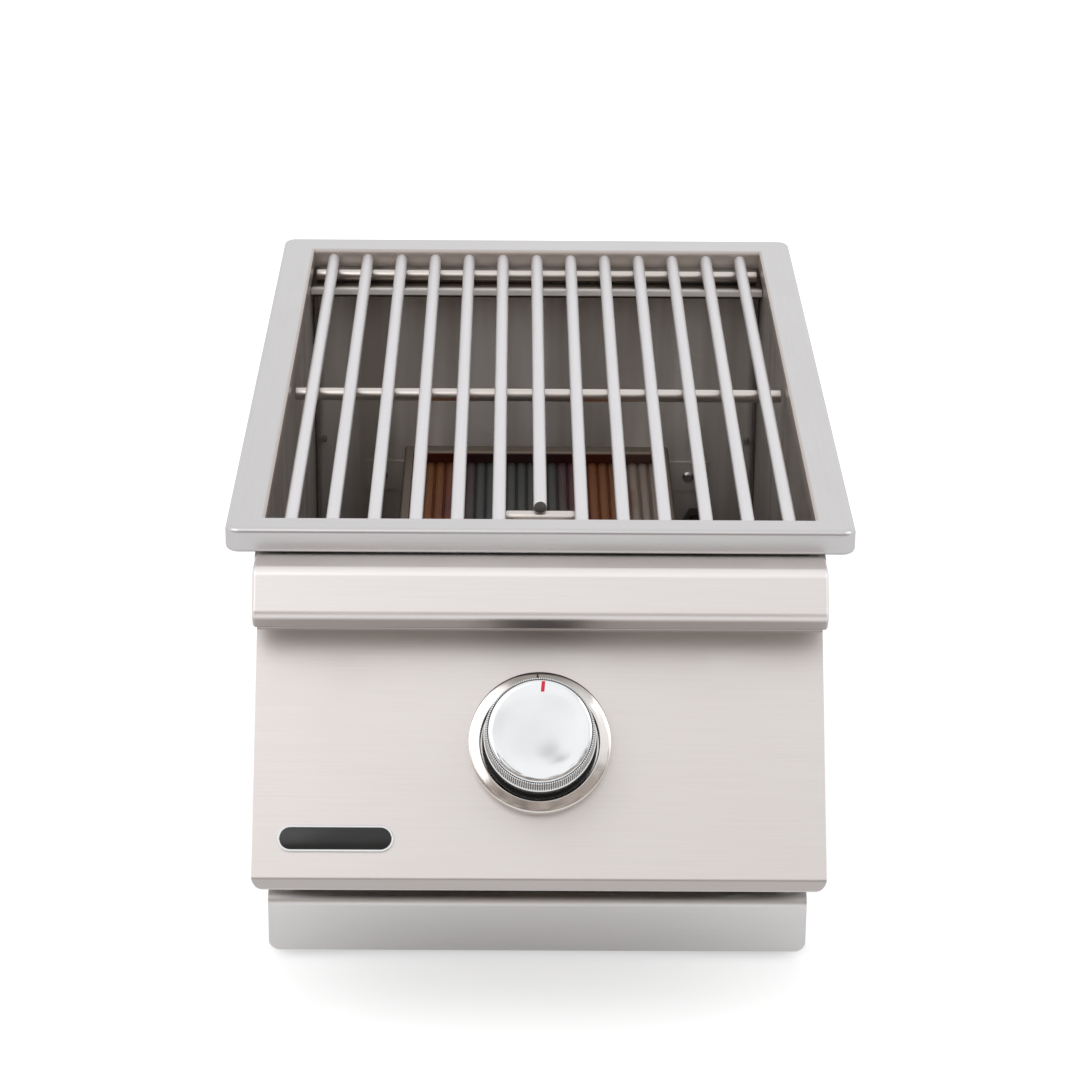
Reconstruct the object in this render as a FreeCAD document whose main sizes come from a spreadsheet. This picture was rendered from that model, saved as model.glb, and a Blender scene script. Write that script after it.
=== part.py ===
import FreeCAD, Part
import os
import re
from math import cos, pi, sin, tan

import Sketcher

# Built-in side burner: a stainless rim and box that drop into a counter, with a rod grate,
# a radiant burner, a sloped control panel with one knob and a slide-out drip tray.
# Millimetres. X is to the right, Y is to the back, Z is up. The origin is the middle of the
# underside of the box floor, and the rim's opening is centred on it.

SIZES = [
    # rim
    ("overall_height", 276.0),
    ("opening_width", 312.0),
    ("opening_depth", 513.0),
    ("flange_side", 22.0),
    ("flange_front", 19.0),
    ("flange_rear", 27.0),
    ("rim_sheet", 1.5),
    ("rim_skirt", 15.0),
    ("rim_return", 10.0),
    ("rim_lip", 12.0),
    ("rim_bend", 3.0),
    ("rim_corner", 8.0),
    ("rim_cut", 0.1),
    # box walls and floor
    ("wall", 1.2),
    ("wall_bend", 2.4),
    ("wall_flange", 15.0),
    ("top_flange", 6.0),
    ("floor_side", 10.0),
    ("floor_slack", 0.1),
    ("toe_back", 24.0),
    ("toe_rise", 12.0),
    ("vent_length", 34.0),
    ("vent_height", 6.0),
    ("vent_pitch", 48.0),
    ("vent_level", 62.0),
    ("rear_screw_low", 40.0),
    ("rear_screw_drop", 46.0),
    ("front_wall_foot", 56.0),
    ("front_wall_fold", 12.0),
    # grate
    ("bar_dia", 7.94),
    ("bar_side_gap", 13.8),
    ("bar_slack", 1.5),
    ("bar_drop", 2.5),
    ("bar_chamfer", 0.8),
    ("rod_dia", 7.94),
    ("rod_slack", 2.0),
    ("rod_inset", 15.0),
    ("rod_middle", -7.2),
    ("lift_rod_inset", 38.3),
    ("lift_bar_overhang", 3.7),
    ("weld_sink", 0.1),
    ("seat_gap", 0.3),
    ("ledge_sheet", 1.5),
    ("ledge_depth_rear", 30.0),
    ("ledge_depth_front", 20.0),
    ("ledge_lip", 6.0),
    ("ledge_leg", 16.0),
    ("ledge_slack", 0.5),
    ("ledge_bend", 2.5),
    # front rail
    ("rail_over", 2.3),
    ("rail_gap", 0.6),
    ("rail_nose_top", 36.0),
    ("rail_nose_reach", 50.6),
    ("rail_nose_fall", 22.9),
    ("rail_foot_back", 6.5),
    ("rail_foot_fall", 9.5),
    ("rail_bend_top", 7.0),
    ("rail_bend_nose", 5.0),
    ("rail_foot_bend", 2.4),
    ("rail_end_edge", 2.0),
    # control panel
    ("panel_inset", 0.5),
    ("panel_tilt", 36.0),
    ("panel_top_reach", 19.0),
    ("panel_sheet", 1.2),
    ("panel_flange", 20.0),
    ("panel_bend", 3.0),
    ("panel_lip", 8.0),
    ("panel_lip_corner", 9.0),
    ("panel_foot", 76.5),
    ("knob_reach", 58.0),
    ("knob_level", 163.0),
    ("knob_hole", 28.0),
    ("side_slack", 0.2),
    ("side_foot_drop", 59.0),
    # bezel and knob
    ("bezel_outer", 80.4),
    ("bezel_inner", 66.6),
    ("bezel_height", 10.0),
    ("bezel_web", 2.0),
    ("bezel_hub_hole", 24.0),
    ("bezel_edge", 1.2),
    ("push_travel", 3.0),
    ("push_slack", 1.0),
    ("knob_base_dia", 64.6),
    ("knob_base_step", 3.0),
    ("knob_base_inset", 0.6),
    ("knob_split", 25.0),
    ("knob_rim_dia", 63.0),
    ("knob_face_dia", 60.6),
    ("knob_face_level", 41.5),
    ("knob_edge", 1.6),
    ("knob_edge_side", 0.8),
    ("knob_edge_fall", 0.5),
    ("knob_wall", 2.4),
    ("knob_web", 4.0),
    ("hub_dia", 18.0),
    # valve
    ("stem_dia", 8.0),
    ("stem_flat", 2.8),
    ("stem_tip", 35.0),
    ("stem_flat_long", 22.0),
    ("clip_wide", 4.6),
    ("clip_inset", 1.0),
    ("clip_thick", 0.4),
    ("clip_long", 18.0),
    ("running_fit", 0.05),
    ("bonnet_long", 50.0),
    ("bonnet_tall", 26.0),
    ("bonnet_plate", 3.0),
    ("bonnet_corner", 6.0),
    ("bonnet_hub", 24.0),
    ("bonnet_depth", 18.0),
    ("bonnet_bore", 17.0),
    ("bonnet_wall", 3.0),
    ("collar_dia", 15.0),
    ("collar_thick", 2.0),
    ("collar_gap", 0.3),
    ("shoulder_dia", 12.0),
    ("shoulder_thick", 1.5),
    ("spring_wire", 1.0),
    ("spring_dia", 12.4),
    ("spring_turns", 4.0),
    ("spring_gap", 0.1),
    ("valve_dia", 26.0),
    ("valve_end", 41.0),
    ("valve_bore_depth", 8.0),
    ("port_depth", 37.0),
    ("outlet_dia", 14.0),
    ("outlet_reach", 12.0),
    ("inlet_dia", 17.0),
    ("inlet_reach", 24.0),
    ("orifice_dia", 8.0),
    ("orifice_bore", 1.6),
    ("orifice_length", 9.0),
    ("orifice_straight", 6.3),
    ("bezel_screw_reach", 19.0),
    ("module_wide", 18.0),
    ("module_tall", 22.0),
    ("module_long", 28.0),
    ("module_gap", 3.0),
    ("module_edge", 2.0),
    ("wire_exit", 16.0),
    ("wire_rise", 14.0),
    ("wire_bend", 10.0),
    ("wire_turn_gap", 15.6),
    ("wire_dia", 3.0),
    ("wire_reach", 50.0),
    # screws
    ("screw_dia", 4.0),
    ("screw_head", 8.0),
    ("screw_head_tall", 2.6),
    ("screw_crown", 1.4),
    ("screw_crown_inset", 1.5),
    ("screw_length", 8.0),
    ("bezel_screw_length", 5.8),
    ("hole_slack", 0.2),
    # gas supply
    ("pipe_dia", 12.7),
    ("pipe_bore", 10.0),
    ("pipe_bend", 20.0),
    ("pipe_side_gap", 39.5),
    ("pipe_level", 71.0),
    ("grommet_wall", 2.0),
    ("grommet_lip", 2.5),
    ("fitting_hex", 22.0),
    ("fitting_hex_long", 14.0),
    ("fitting_shank", 15.88),
    ("bulkhead_dia", 18.0),
    ("bulkhead_spare", 1.0),
    ("fitting_out", 20.0),
    ("fitting_bore", 8.0),
    ("fitting_cone", 2.5),
    ("nut_hex", 26.0),
    ("nut_thick", 5.0),
    # heat shield
    ("shield_gap", 8.8),
    ("shield_side_gap", 18.7),
    ("shield_rise", 43.0),
    ("shield_drop", 67.0),
    ("shield_hole", 36.0),
    ("shield_wire_hole", 10.0),
    # burner
    ("burner_width", 178.0),
    ("burner_depth", 240.0),
    ("burner_middle", 4.5),
    ("burner_rise", 37.75),
    ("burner_drop", 18.25),
    ("burner_sheet", 1.2),
    ("burner_bend", 4.0),
    ("pan_bend", 2.5),
    ("burner_corner", 2.5),
    ("frame_flange", 13.0),
    ("frame_flange_side", 6.0),
    ("frame_skirt", 9.0),
    ("frame_slack", 0.2),
    ("frame_bend", 2.0),
    ("screen_drop", 9.0),
    ("screen_sheet", 0.8),
    ("screen_lap", 2.5),
    ("rib_inset", 1.0),
    ("rib_pitch", 6.8),
    ("rib_height", 1.8),
    ("rib_side_height", 1.3),
    ("rib_slope", 1.0),
    ("rib_shoulder", 2.3),
    ("rib_gap", 0.15),
    ("plaque_thick", 12.0),
    ("plaque_gap", 1.5),
    ("plaque_shelf", 6.0),
    ("plaque_slack", 0.5),
    ("mixer_dia", 24.0),
    ("mixer_sheet", 1.2),
    ("mixer_throat", 18.0),
    ("mixer_gap", 2.5),
    ("mixer_end", 20.0),
    ("mixer_collar", 5.0),
    ("mixer_straight", 26.0),
    ("mixer_neck", 60.0),
    ("mixer_flare", 130.0),
    ("mixer_hole_slack", 1.0),
    ("mixer_port_long", 7.0),
    ("mixer_port_wide", 15.0),
    ("mixer_port_inset", 3.0),
    ("support_in", 66.0),
    ("support_out", 88.0),
    ("support_sheet", 1.5),
    ("support_leg", 14.0),
    ("support_tab_out", 124.0),
    ("support_tab_tall", 22.0),
    ("support_tab_drop", 27.0),
    ("support_screw_reach", 110.0),
    # air shutter
    ("shutter_sheet", 1.0),
    ("shutter_slack", 0.08),
    ("shutter_long", 15.0),
    ("shutter_face_hole", 11.0),
    ("shutter_screw_dia", 3.0),
    ("shutter_screw_head", 6.0),
    ("shutter_screw_tall", 2.0),
    # electrode
    ("electrode_reach", 50.0),
    ("electrode_dia", 6.5),
    ("electrode_long", 36.0),
    ("electrode_wire", 2.0),
    ("electrode_tip", 22.0),
    ("electrode_rise", 7.0),
    ("electrode_lead", 32.5),
    ("electrode_over", 22.0),
    ("electrode_run", 13.0),
    ("electrode_drop", 9.0),
    ("electrode_bend", 3.0),
    ("strap_sheet", 1.5),
    ("strap_wide", 14.0),
    ("strap_low", 18.0),
    ("strap_high", 8.0),
    # drip tray
    ("tray_side_gap", 12.5),
    ("tray_rear_gap", 24.8),
    ("tray_floor", 8.0),
    ("tray_tall", 24.0),
    ("tray_bottom_bend", 4.0),
    ("tray_sheet", 1.0),
    ("tray_corner", 6.0),
    ("tray_flange", 9.0),
    ("tray_gap", 0.3),
    ("tray_front_foot", 5.5),
    ("tray_front_top", 42.0),
    ("tray_front_deep", 8.0),
    ("tray_front_sheet", 1.0),
    ("tray_plate_inset", 8.0),
    ("tray_front_roll", 7.0),
    ("tray_front_corner", 6.5),
    ("tray_front_gap", 0.4),
    ("runner_leg", 14.0),
    ("runner_shelf", 10.0),
    ("runner_setback", 6.0),
]

BAR_COUNT = 13
LIFT_BAR = BAR_COUNT // 2
VENT_COUNT = 5
REAR_SCREWS = 3

# Formulas of the driving sizes, named once and used by every piece that they place.
FORMULAS = {
    "rim_top": "overall_height",
    "open_x": "opening_width / 2",
    "open_y": "opening_depth / 2",
    "rim_x": "open_x + flange_side",
    "rim_front": "-open_y - flange_front",
    "rim_rear": "open_y + flange_rear",
    "in_x": "open_x + rim_sheet",
    "out_x": "in_x + wall",
    "in_y": "open_y + rim_sheet",
    "out_y": "in_y + wall",
    "face_y": "out_y + wall",
    "wall_reach": "in_x - wall_bend",
    "wall_top": "rim_top - rim_sheet",
    "counter": "rim_top - rim_skirt",
    "rail_top": "counter - rail_gap",
    "screw_pitch": "(rim_top - rear_screw_drop - rear_screw_low) / %d" % (REAR_SCREWS - 1),
    "bar_axis": "rim_top - bar_drop - bar_dia / 2",
    "bar_pitch": "(open_x - bar_side_gap) / %d" % LIFT_BAR,
    "bar_half": "open_y - bar_slack",
    "rod_axis": "bar_axis - bar_dia / 2 - rod_dia / 2 + weld_sink",
    "shelf_top": "rod_axis - rod_dia / 2 - seat_gap",
    "rod_end_y": "in_y - rod_inset",
    "lift_rod_y": "-in_y + lift_rod_inset",
    "rail_x": "out_x + rail_over",
    "panel_x": "rail_x - panel_inset",
    "nose_y": "-face_y - rail_nose_top",
    "nose_z": "rail_top",
    "chin_y": "-face_y - rail_nose_reach",
    "chin_z": "rail_top - rail_nose_fall",
    "foot_y": "chin_y + rail_foot_back",
    "foot_z": "chin_z - rail_foot_fall",
    "knob_y": "-face_y - knob_reach",
    "flange_y": "-face_y - panel_top_reach",
    "bend_z": "knob_level + (flange_y - knob_y) * cos(panel_tilt) / sin(panel_tilt)",
    "lip_y": "knob_y - panel_foot * sin(panel_tilt)",
    "lip_z": "knob_level - panel_foot * cos(panel_tilt)",
    "lip_foot": "lip_z - panel_lip",
    "panel_top": "rail_top - wall",
    "axis_turn": "90 - panel_tilt",
    "port_y": "knob_y + port_depth * cos(panel_tilt)",
    "port_z": "knob_level - port_depth * sin(panel_tilt)",
    "outlet_y": "port_y + outlet_reach",
    "mixer_y": "outlet_y + mixer_gap",
    "pipe_x": "in_x - pipe_side_gap",
    "bonnet_top": "-panel_sheet",
    "bonnet_end": "-bonnet_depth",
    "shoulder_top": "-panel_sheet - bonnet_wall - collar_gap",
    "collar_top": "shoulder_top - shoulder_thick",
    "collar_low": "collar_top - collar_thick",
    "stem_low": "bonnet_end - valve_bore_depth + push_travel + push_slack",
    "knob_low": "bezel_web + push_travel + push_slack",
    "bore": "stem_dia / 2 + running_fit",
    "base_wall_in": "knob_rim_dia / 2 - knob_base_inset - knob_wall",
    "plug_top": "knob_face_level - knob_wall",
    "burner_top": "port_z + burner_rise",
    "burner_foot": "port_z - burner_drop",
    "tab_level": "burner_foot - support_tab_drop",
    "electrode_level": "burner_top + electrode_rise",
    "burner_x": "burner_width / 2",
    "burner_y": "burner_depth / 2",
    "pan_x": "burner_x - frame_slack - burner_sheet",
    "pan_y": "burner_y - frame_slack - burner_sheet",
    "pan_top": "burner_top - burner_sheet",
    "screen_top": "burner_top - screen_drop",
    "window_x": "burner_x - frame_flange_side",
    "window_y": "burner_y - frame_flange",
    "plaque_top": "screen_top - screen_sheet - plaque_gap",
    "plaque_foot": "plaque_top - plaque_thick",
    "shield_y": "-face_y - shield_gap",
    "shield_x": "out_x - shield_side_gap",
    "shield_top": "knob_level + shield_rise",
    "shield_foot": "knob_level - shield_drop",
    "wire_turn": "-face_y - wire_turn_gap",
    "tray_x": "in_x - tray_side_gap",
    "tray_rear": "in_y - tray_rear_gap",
    "runner_top": "tray_floor + tray_tall - tray_sheet - tray_gap",
    "tray_front_back": "-face_y - tray_front_gap",
    "fitting_y": "in_y - fitting_hex_long",
    "mixer_out": "mixer_dia / 2",
    "shutter_in": "mixer_out + shutter_slack",
    "shutter_out": "shutter_in + shutter_sheet",
}

TAB_MIDDLE = "tab_level + support_tab_tall / 2"

V = FreeCAD.Vector
X_AXIS = V(1, 0, 0)
Y_AXIS = V(0, 1, 0)
Z_AXIS = V(0, 0, 1)
SAME_POINT = 1e-3
# a small turn that gives a placement its axis before a formula sets the angle
FIRST_TURN = 1

doc = FreeCAD.newDocument("side_burner")
sheet = doc.addObject("Spreadsheet::Sheet", "dims")
for row, (word, size) in enumerate(SIZES, start=1):
    sheet.set("A%d" % row, word)
    sheet.set("B%d" % row, str(size))
    sheet.setAlias("B%d" % row, word)
doc.recompute()

SIZE_WORDS = {word for word, size in SIZES}
nodes = []


def bind(text):
    """Turn a formula in plain size names into one that reads the sheet."""
    def swap(match):
        word = match.group(0)
        if word in SIZE_WORDS:
            return "dims." + word
        if word in FORMULAS:
            return "(" + bind(FORMULAS[word]) + ")"
        return word
    return re.sub(r"[a-z][a-z_]*", swap, str(text))


def value(text):
    """The number that a formula gives now."""
    return float(sheet.evalExpression(bind(text)))


def keep(thing, label):
    """Name a finished piece; it becomes one node."""
    thing.Label = label
    nodes.append(thing)
    return thing


def place(thing, x, y, z, axis=Z_AXIS, angle="0"):
    """Put a piece at x, y, z, turned about one axis, all by formula."""
    if value(angle):
        thing.Placement = FreeCAD.Placement(V(0, 0, 0), FreeCAD.Rotation(axis, FIRST_TURN))
        thing.setExpression(".Placement.Rotation.Angle", bind(angle))
    thing.setExpression(".Placement.Base.x", bind(x))
    thing.setExpression(".Placement.Base.y", bind(y))
    thing.setExpression(".Placement.Base.z", bind(z))
    return thing


def on_knob_axis(thing):
    """Stand a piece's own Z on the knob's axis, with its zero on the panel's outer face."""
    return place(thing, "0", "knob_y", "knob_level", X_AXIS, "axis_turn")


def new_body(name):
    return doc.addObject("PartDesign::Body", name)


def sketch(body, plane, lift="0"):
    """An empty sketch on one of the body's own planes, lifted along the plane's normal."""
    origin_plane = [f for f in body.Origin.OriginFeatures if f.Role == plane + "_Plane"][0]
    flat = body.newObject("Sketcher::SketchObject", body.Name + "_sketch")
    flat.AttachmentSupport = [(origin_plane, "")]
    flat.MapMode = "FlatFace"
    if lift != "0":
        flat.setExpression(".AttachmentOffset.Base.z", bind(lift))
    return flat


def fix_point(flat, item, end, x, y):
    """Tie one point of a sketch line or arc to formulas."""
    for kind, text in (("DistanceX", x), ("DistanceY", y)):
        tie = flat.addConstraint(Sketcher.Constraint(kind, -1, 1, item, end, value(text)))
        flat.setExpression("Constraints[%d]" % tie, bind(text))


def outline(flat, corners):
    """A closed outline of straight lines through corners given as formulas."""
    spots = [V(value(x), value(y), 0) for x, y in corners]
    first = flat.GeometryCount
    count = len(corners)
    for i in range(count):
        flat.addGeometry(Part.LineSegment(spots[i], spots[(i + 1) % count]))
    for i in range(count):
        flat.addConstraint(Sketcher.Constraint("Coincident", first + i, 2, first + (i + 1) % count, 1))
    for i, (x, y) in enumerate(corners):
        fix_point(flat, first + i, 1, x, y)


def rectangle(flat, x_low, y_low, x_high, y_high):
    outline(flat, [(x_low, y_low), (x_high, y_low), (x_high, y_high), (x_low, y_high)])


def circle(flat, x, y, radius):
    spot = V(value(x), value(y), 0)
    item = flat.addGeometry(Part.Circle(spot, Z_AXIS, value(radius)))
    tie = flat.addConstraint(Sketcher.Constraint("Radius", item, value(radius)))
    flat.setExpression("Constraints[%d]" % tie, bind(radius))
    fix_point(flat, item, 3, x, y)


def slot(flat, x, y, length, height):
    """A slot with round ends, along the sketch's x."""
    radius = "(" + height + ") / 2"
    left = "(" + x + ") - (" + length + ") / 2 + " + radius
    right = "(" + x + ") + (" + length + ") / 2 - " + radius
    x_left, x_right, y_mid, r = value(left), value(right), value(y), value(radius)
    quarter = pi / 2
    top = flat.addGeometry(Part.LineSegment(V(x_left, y_mid + r, 0), V(x_right, y_mid + r, 0)))
    circle_right = Part.Circle(V(x_right, y_mid, 0), Z_AXIS, r)
    arc_right = flat.addGeometry(Part.ArcOfCircle(circle_right, -quarter, quarter))
    low = flat.addGeometry(Part.LineSegment(V(x_right, y_mid - r, 0), V(x_left, y_mid - r, 0)))
    circle_left = Part.Circle(V(x_left, y_mid, 0), Z_AXIS, r)
    arc_left = flat.addGeometry(Part.ArcOfCircle(circle_left, quarter, 3 * quarter))
    flat.addConstraint(Sketcher.Constraint("Tangent", top, 2, arc_right, 2))
    flat.addConstraint(Sketcher.Constraint("Tangent", low, 1, arc_right, 1))
    flat.addConstraint(Sketcher.Constraint("Tangent", low, 2, arc_left, 2))
    flat.addConstraint(Sketcher.Constraint("Tangent", top, 1, arc_left, 1))
    flat.addConstraint(Sketcher.Constraint("Equal", arc_right, arc_left))
    tie = flat.addConstraint(Sketcher.Constraint("Radius", arc_right, r))
    flat.setExpression("Constraints[%d]" % tie, bind(radius))
    fix_point(flat, arc_right, 3, right, y)
    fix_point(flat, arc_left, 3, left, y)


def pad(body, flat, length, middle=False, back=False):
    """Raise a sketch by a length, to both sides of its plane or to one."""
    raised = body.newObject("PartDesign::Pad", body.Name + "_pad")
    raised.Profile = flat
    raised.setExpression("Length", bind(length))
    raised.Midplane = middle
    raised.Reversed = back
    doc.recompute()
    return raised


def pocket(body, flat, length, middle=False, back=False):
    """Cut a sketch into the body, and make sure that it took something away."""
    before = body.Shape.Volume
    cut = body.newObject("PartDesign::Pocket", body.Name + "_pocket")
    cut.Profile = flat
    cut.setExpression("Length", bind(length))
    cut.Midplane = middle
    cut.Reversed = back
    doc.recompute()
    if not body.Shape.Volume < before:
        raise ValueError("a cut in %s takes nothing away" % body.Label)
    return cut


def edges_through(body, spots):
    """Names of the body's edges that pass through any of the spots."""
    doc.recompute()
    names = []
    for spot in spots:
        mark = Part.Vertex(V(*[value(text) for text in spot]))
        for i, edge in enumerate(body.Shape.Edges, start=1):
            if edge.distToShape(mark)[0] < SAME_POINT and "Edge%d" % i not in names:
                names.append("Edge%d" % i)
    if not names:
        raise ValueError("no edge to round in %s" % body.Label)
    return names


def fillet(body, radius, spots):
    """Round the edges that pass through the spots."""
    names = edges_through(body, spots)
    base = body.Tip
    rounded = body.newObject("PartDesign::Fillet", body.Name + "_fillet")
    rounded.Base = (base, names)
    rounded.setExpression("Radius", bind(radius))
    doc.recompute()
    return rounded


def hollow(body, thickness, spots):
    """Shell the body inwards, open at the faces that hold the spots."""
    doc.recompute()
    names = []
    for spot in spots:
        mark = Part.Vertex(V(*[value(text) for text in spot]))
        for i, face in enumerate(body.Shape.Faces, start=1):
            if face.distToShape(mark)[0] < SAME_POINT:
                names.append("Face%d" % i)
    base = body.Tip
    shell = body.newObject("PartDesign::Thickness", body.Name + "_shell")
    shell.Base = (base, names)
    shell.setExpression("Value", bind(thickness))
    shell.Reversed = True
    doc.recompute()
    return shell


def turned(name, profile):
    """A body of revolution about its own Z, from corners given as radius and height."""
    body = new_body(name)
    flat = sketch(body, "XZ")
    outline(flat, profile)
    round_form = body.newObject("PartDesign::Revolution", name + "_turn")
    round_form.Profile = flat
    round_form.ReferenceAxis = (flat, ["V_Axis"])
    round_form.Angle = 360
    doc.recompute()
    return body


def group(label, pieces):
    """Several like solids kept together as one node."""
    together = doc.addObject("Part::Compound", label)
    together.Links = pieces
    return keep(together, label)


def tube_along(label, spots, bend, radius, bore=None):
    """A round tube along straight runs joined by tangent arcs."""
    points = [V(*[value(text) for text in spot]) for spot in spots]
    edges = []
    start = points[0]
    for before, corner, after in zip(points, points[1:], points[2:]):
        come = (before - corner).normalize()
        leave = (after - corner).normalize()
        half_angle = come.getAngle(leave) / 2
        setback = value(bend) / tan(half_angle)
        near = corner + come * setback
        far = corner + leave * setback
        middle_way = (come + leave).normalize()
        centre = corner + middle_way * (value(bend) / sin(half_angle))
        top = centre - middle_way * value(bend)
        edges.append(Part.LineSegment(start, near).toShape())
        edges.append(Part.Arc(near, top, far).toShape())
        start = far
    edges.append(Part.LineSegment(start, points[-1]).toShape())
    path = Part.Wire(edges)
    ends = []
    for size in [radius] + ([bore] if bore else []):
        ring = Part.Circle(points[0], points[1] - points[0], value(size)).toShape()
        ends.append(path.makePipeShell([Part.Wire([ring])], True, False))
    solid = ends[0] if bore is None else ends[0].cut(ends[1])
    thing = doc.addObject("Part::Feature", label)
    thing.Shape = solid
    thing.Placement = FreeCAD.Placement()
    return keep(thing, label)


def times(side, text):
    """The formula, or its mirror image for the other side."""
    return "(" + text + ")" if side > 0 else "-(" + text + ")"


def behind_at(y, depth):
    """Height, at y, of the line that runs parallel to the panel at a depth behind it."""
    return (
        "knob_level - (" + depth + ") * sin(panel_tilt)"
        " + ((" + y + ") - knob_y - (" + depth + ") * cos(panel_tilt))"
        " * cos(panel_tilt) / sin(panel_tilt)"
    )


def behind_at_level(z, depth):
    """The y, at height z, of the line that runs parallel to the panel at a depth behind it."""
    return (
        "knob_y + (" + depth + ") * cos(panel_tilt)"
        " + ((" + z + ") - knob_level + (" + depth + ") * sin(panel_tilt))"
        " * sin(panel_tilt) / cos(panel_tilt)"
    )


def along_axis_y(out):
    """The y of a point on the knob's axis, at a distance out from the panel."""
    return "knob_y - (" + out + ") * cos(panel_tilt)"


def along_axis_z(out):
    """The height of a point on the knob's axis, at a distance out from the panel."""
    return "knob_level + (" + out + ") * sin(panel_tilt)"


def cylinder(name, x, y, z, axis, angle, radius, length):
    """A plain cylinder whose base is at x, y, z, turned about one axis."""
    thing = doc.addObject("Part::Cylinder", name)
    thing.setExpression("Radius", bind(radius))
    thing.setExpression("Height", bind(length))
    return place(thing, x, y, z, axis, angle)


def axis_cylinder(name, x, out, radius, length):
    """A cylinder parallel to the knob's axis, from a distance out from the panel."""
    return cylinder(name, x, along_axis_y(out), along_axis_z(out), X_AXIS, "axis_turn", radius, length)


def cut_from(label, whole, tools):
    """A node that is one solid less some tools."""
    tool_group = doc.addObject("Part::Compound", label + "_tools")
    tool_group.Links = tools
    cut = doc.addObject("Part::Cut", label)
    cut.Base = whole
    cut.Tool = tool_group
    return keep(cut, label)


def rounded_front(name, inset):
    """A block as wide as the panel, less an inset, with its two lower corners rounded."""
    body = new_body(name)
    flat = sketch(body, "XZ")
    half = "(panel_x - " + inset + ")"
    foot = "lip_foot + " + inset
    rectangle(flat, "-" + half, foot, half, "panel_top")
    pad(body, flat, "face_y + knob_reach + panel_foot")
    fillet(body, "panel_lip_corner - " + inset, [(half, "-face_y", foot), ("-" + half, "-face_y", foot)])
    return body


def shared(name, one, other):
    """The space that two bodies share."""
    both = doc.addObject("Part::Common", name)
    both.Base = one
    both.Tool = other
    return both


def round_bar(radius, length):
    """Corners of a round bar with both ends chamfered."""
    return [
        ("0", "0"),
        (radius + " - bar_chamfer", "0"),
        (radius, "bar_chamfer"),
        (radius, length + " - bar_chamfer"),
        (radius + " - bar_chamfer", length),
        ("0", length),
    ]


def hexagon(flat, across):
    """A hexagon round the sketch's origin, given its width across flats."""
    corners = []
    for i in range(6):
        turn = "%d" % (60 * i)
        reach = across + " / 2 / cos(30)"
        corners.append((reach + " * cos(" + turn + ")", reach + " * sin(" + turn + ")"))
    outline(flat, corners)


def bush(label, x, z, inner):
    """A bush with a lip on each side of the front wall, round a pipe or a wire."""
    outer = inner + " + grommet_wall"
    body = turned(label, [
        (inner, "-grommet_wall"),
        (outer + " + grommet_lip", "-grommet_wall"),
        (outer + " + grommet_lip", "0"),
        (outer, "0"),
        (outer, "wall"),
        (outer + " + grommet_lip", "wall"),
        (outer + " + grommet_lip", "wall + grommet_wall"),
        (inner, "wall + grommet_wall"),
    ])
    return keep(place(body, x, "-out_y", z, X_AXIS, "-90"), label)


def screw(name, head, tall, dia, length):
    """A pan-head screw with its seat at height zero and its shank downwards."""
    half = "(" + head + ") / 2"
    body = turned(name, [
        ("0", "-(" + length + ")"),
        ("(" + dia + ") / 2", "-(" + length + ")"),
        ("(" + dia + ") / 2", "0"),
        (half, "0"),
        (half, tall + " - screw_crown"),
        (half + " - screw_crown_inset", tall),
        ("0", tall),
    ])
    return body


# Top frame: a drop-in rim folded from one blank, with a short skirt and a lip turned down
# inside the opening. At the sides and the rear the skirt turns in again on the counter; at
# the front it ends just over the rail.
top_frame = new_body("top_frame_blank")
flat = sketch(top_frame, "XY", "counter")
rectangle(flat, "-rim_x", "rim_front", "rim_x", "rim_rear")
rectangle(flat, "-open_x", "-open_y", "open_x", "open_y")
pad(top_frame, flat, "rim_skirt")
fillet(top_frame, "rim_corner", [
    ("rim_x", "rim_front", "counter + rim_skirt / 2"),
    ("-rim_x", "rim_front", "counter + rim_skirt / 2"),
    ("rim_x", "rim_rear", "counter + rim_skirt / 2"),
    ("-rim_x", "rim_rear", "counter + rim_skirt / 2"),
])
fillet(top_frame, "rim_bend", [
    ("0", "rim_front", "rim_top"),
    ("0", "-open_y", "rim_top"),
    ("0", "rim_front", "counter"),
])
fillet(top_frame, "rim_bend", [
    ("0", "open_y", "rim_top"),
])
# the space between lip and skirt, open downwards between the lip and the turned-in edge
flat = sketch(top_frame, "XY", "counter")
rectangle(
    flat,
    "-rim_x + rim_sheet + rim_return",
    "rim_front + rim_sheet",
    "rim_x - rim_sheet - rim_return",
    "rim_rear - rim_sheet - rim_return",
)
rectangle(flat, "-in_x", "-in_y", "in_x", "in_y")
pocket(top_frame, flat, "rim_skirt - rim_sheet", back=True)
flat = sketch(top_frame, "XY", "counter")
rectangle(flat, "-in_x - rim_cut", "-in_y - rim_cut", "in_x + rim_cut", "in_y + rim_cut")
rectangle(flat, "-open_x + rim_cut", "-open_y + rim_cut", "open_x - rim_cut", "open_y - rim_cut")
pocket(top_frame, flat, "rim_skirt - rim_lip", back=True)
rim_hollow = new_body("top_frame_hollow")
flat = sketch(rim_hollow, "XY", "counter + rim_sheet")
rectangle(
    flat,
    "-rim_x + rim_sheet",
    "rim_front + rim_sheet",
    "rim_x - rim_sheet",
    "rim_rear - rim_sheet",
)
rectangle(flat, "-in_x - rim_cut", "-in_y - rim_cut", "in_x + rim_cut", "in_y + rim_cut")
pad(rim_hollow, flat, "rim_skirt - 2 * rim_sheet")
fillet(rim_hollow, "rim_corner - rim_sheet", [
    (times(side, "rim_x - rim_sheet"), spot_y, "counter + rim_skirt / 2")
    for side in (1, -1) for spot_y in ("rim_front + rim_sheet", "rim_rear - rim_sheet")
])
cut_from("top_frame", top_frame, [rim_hollow])

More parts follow.
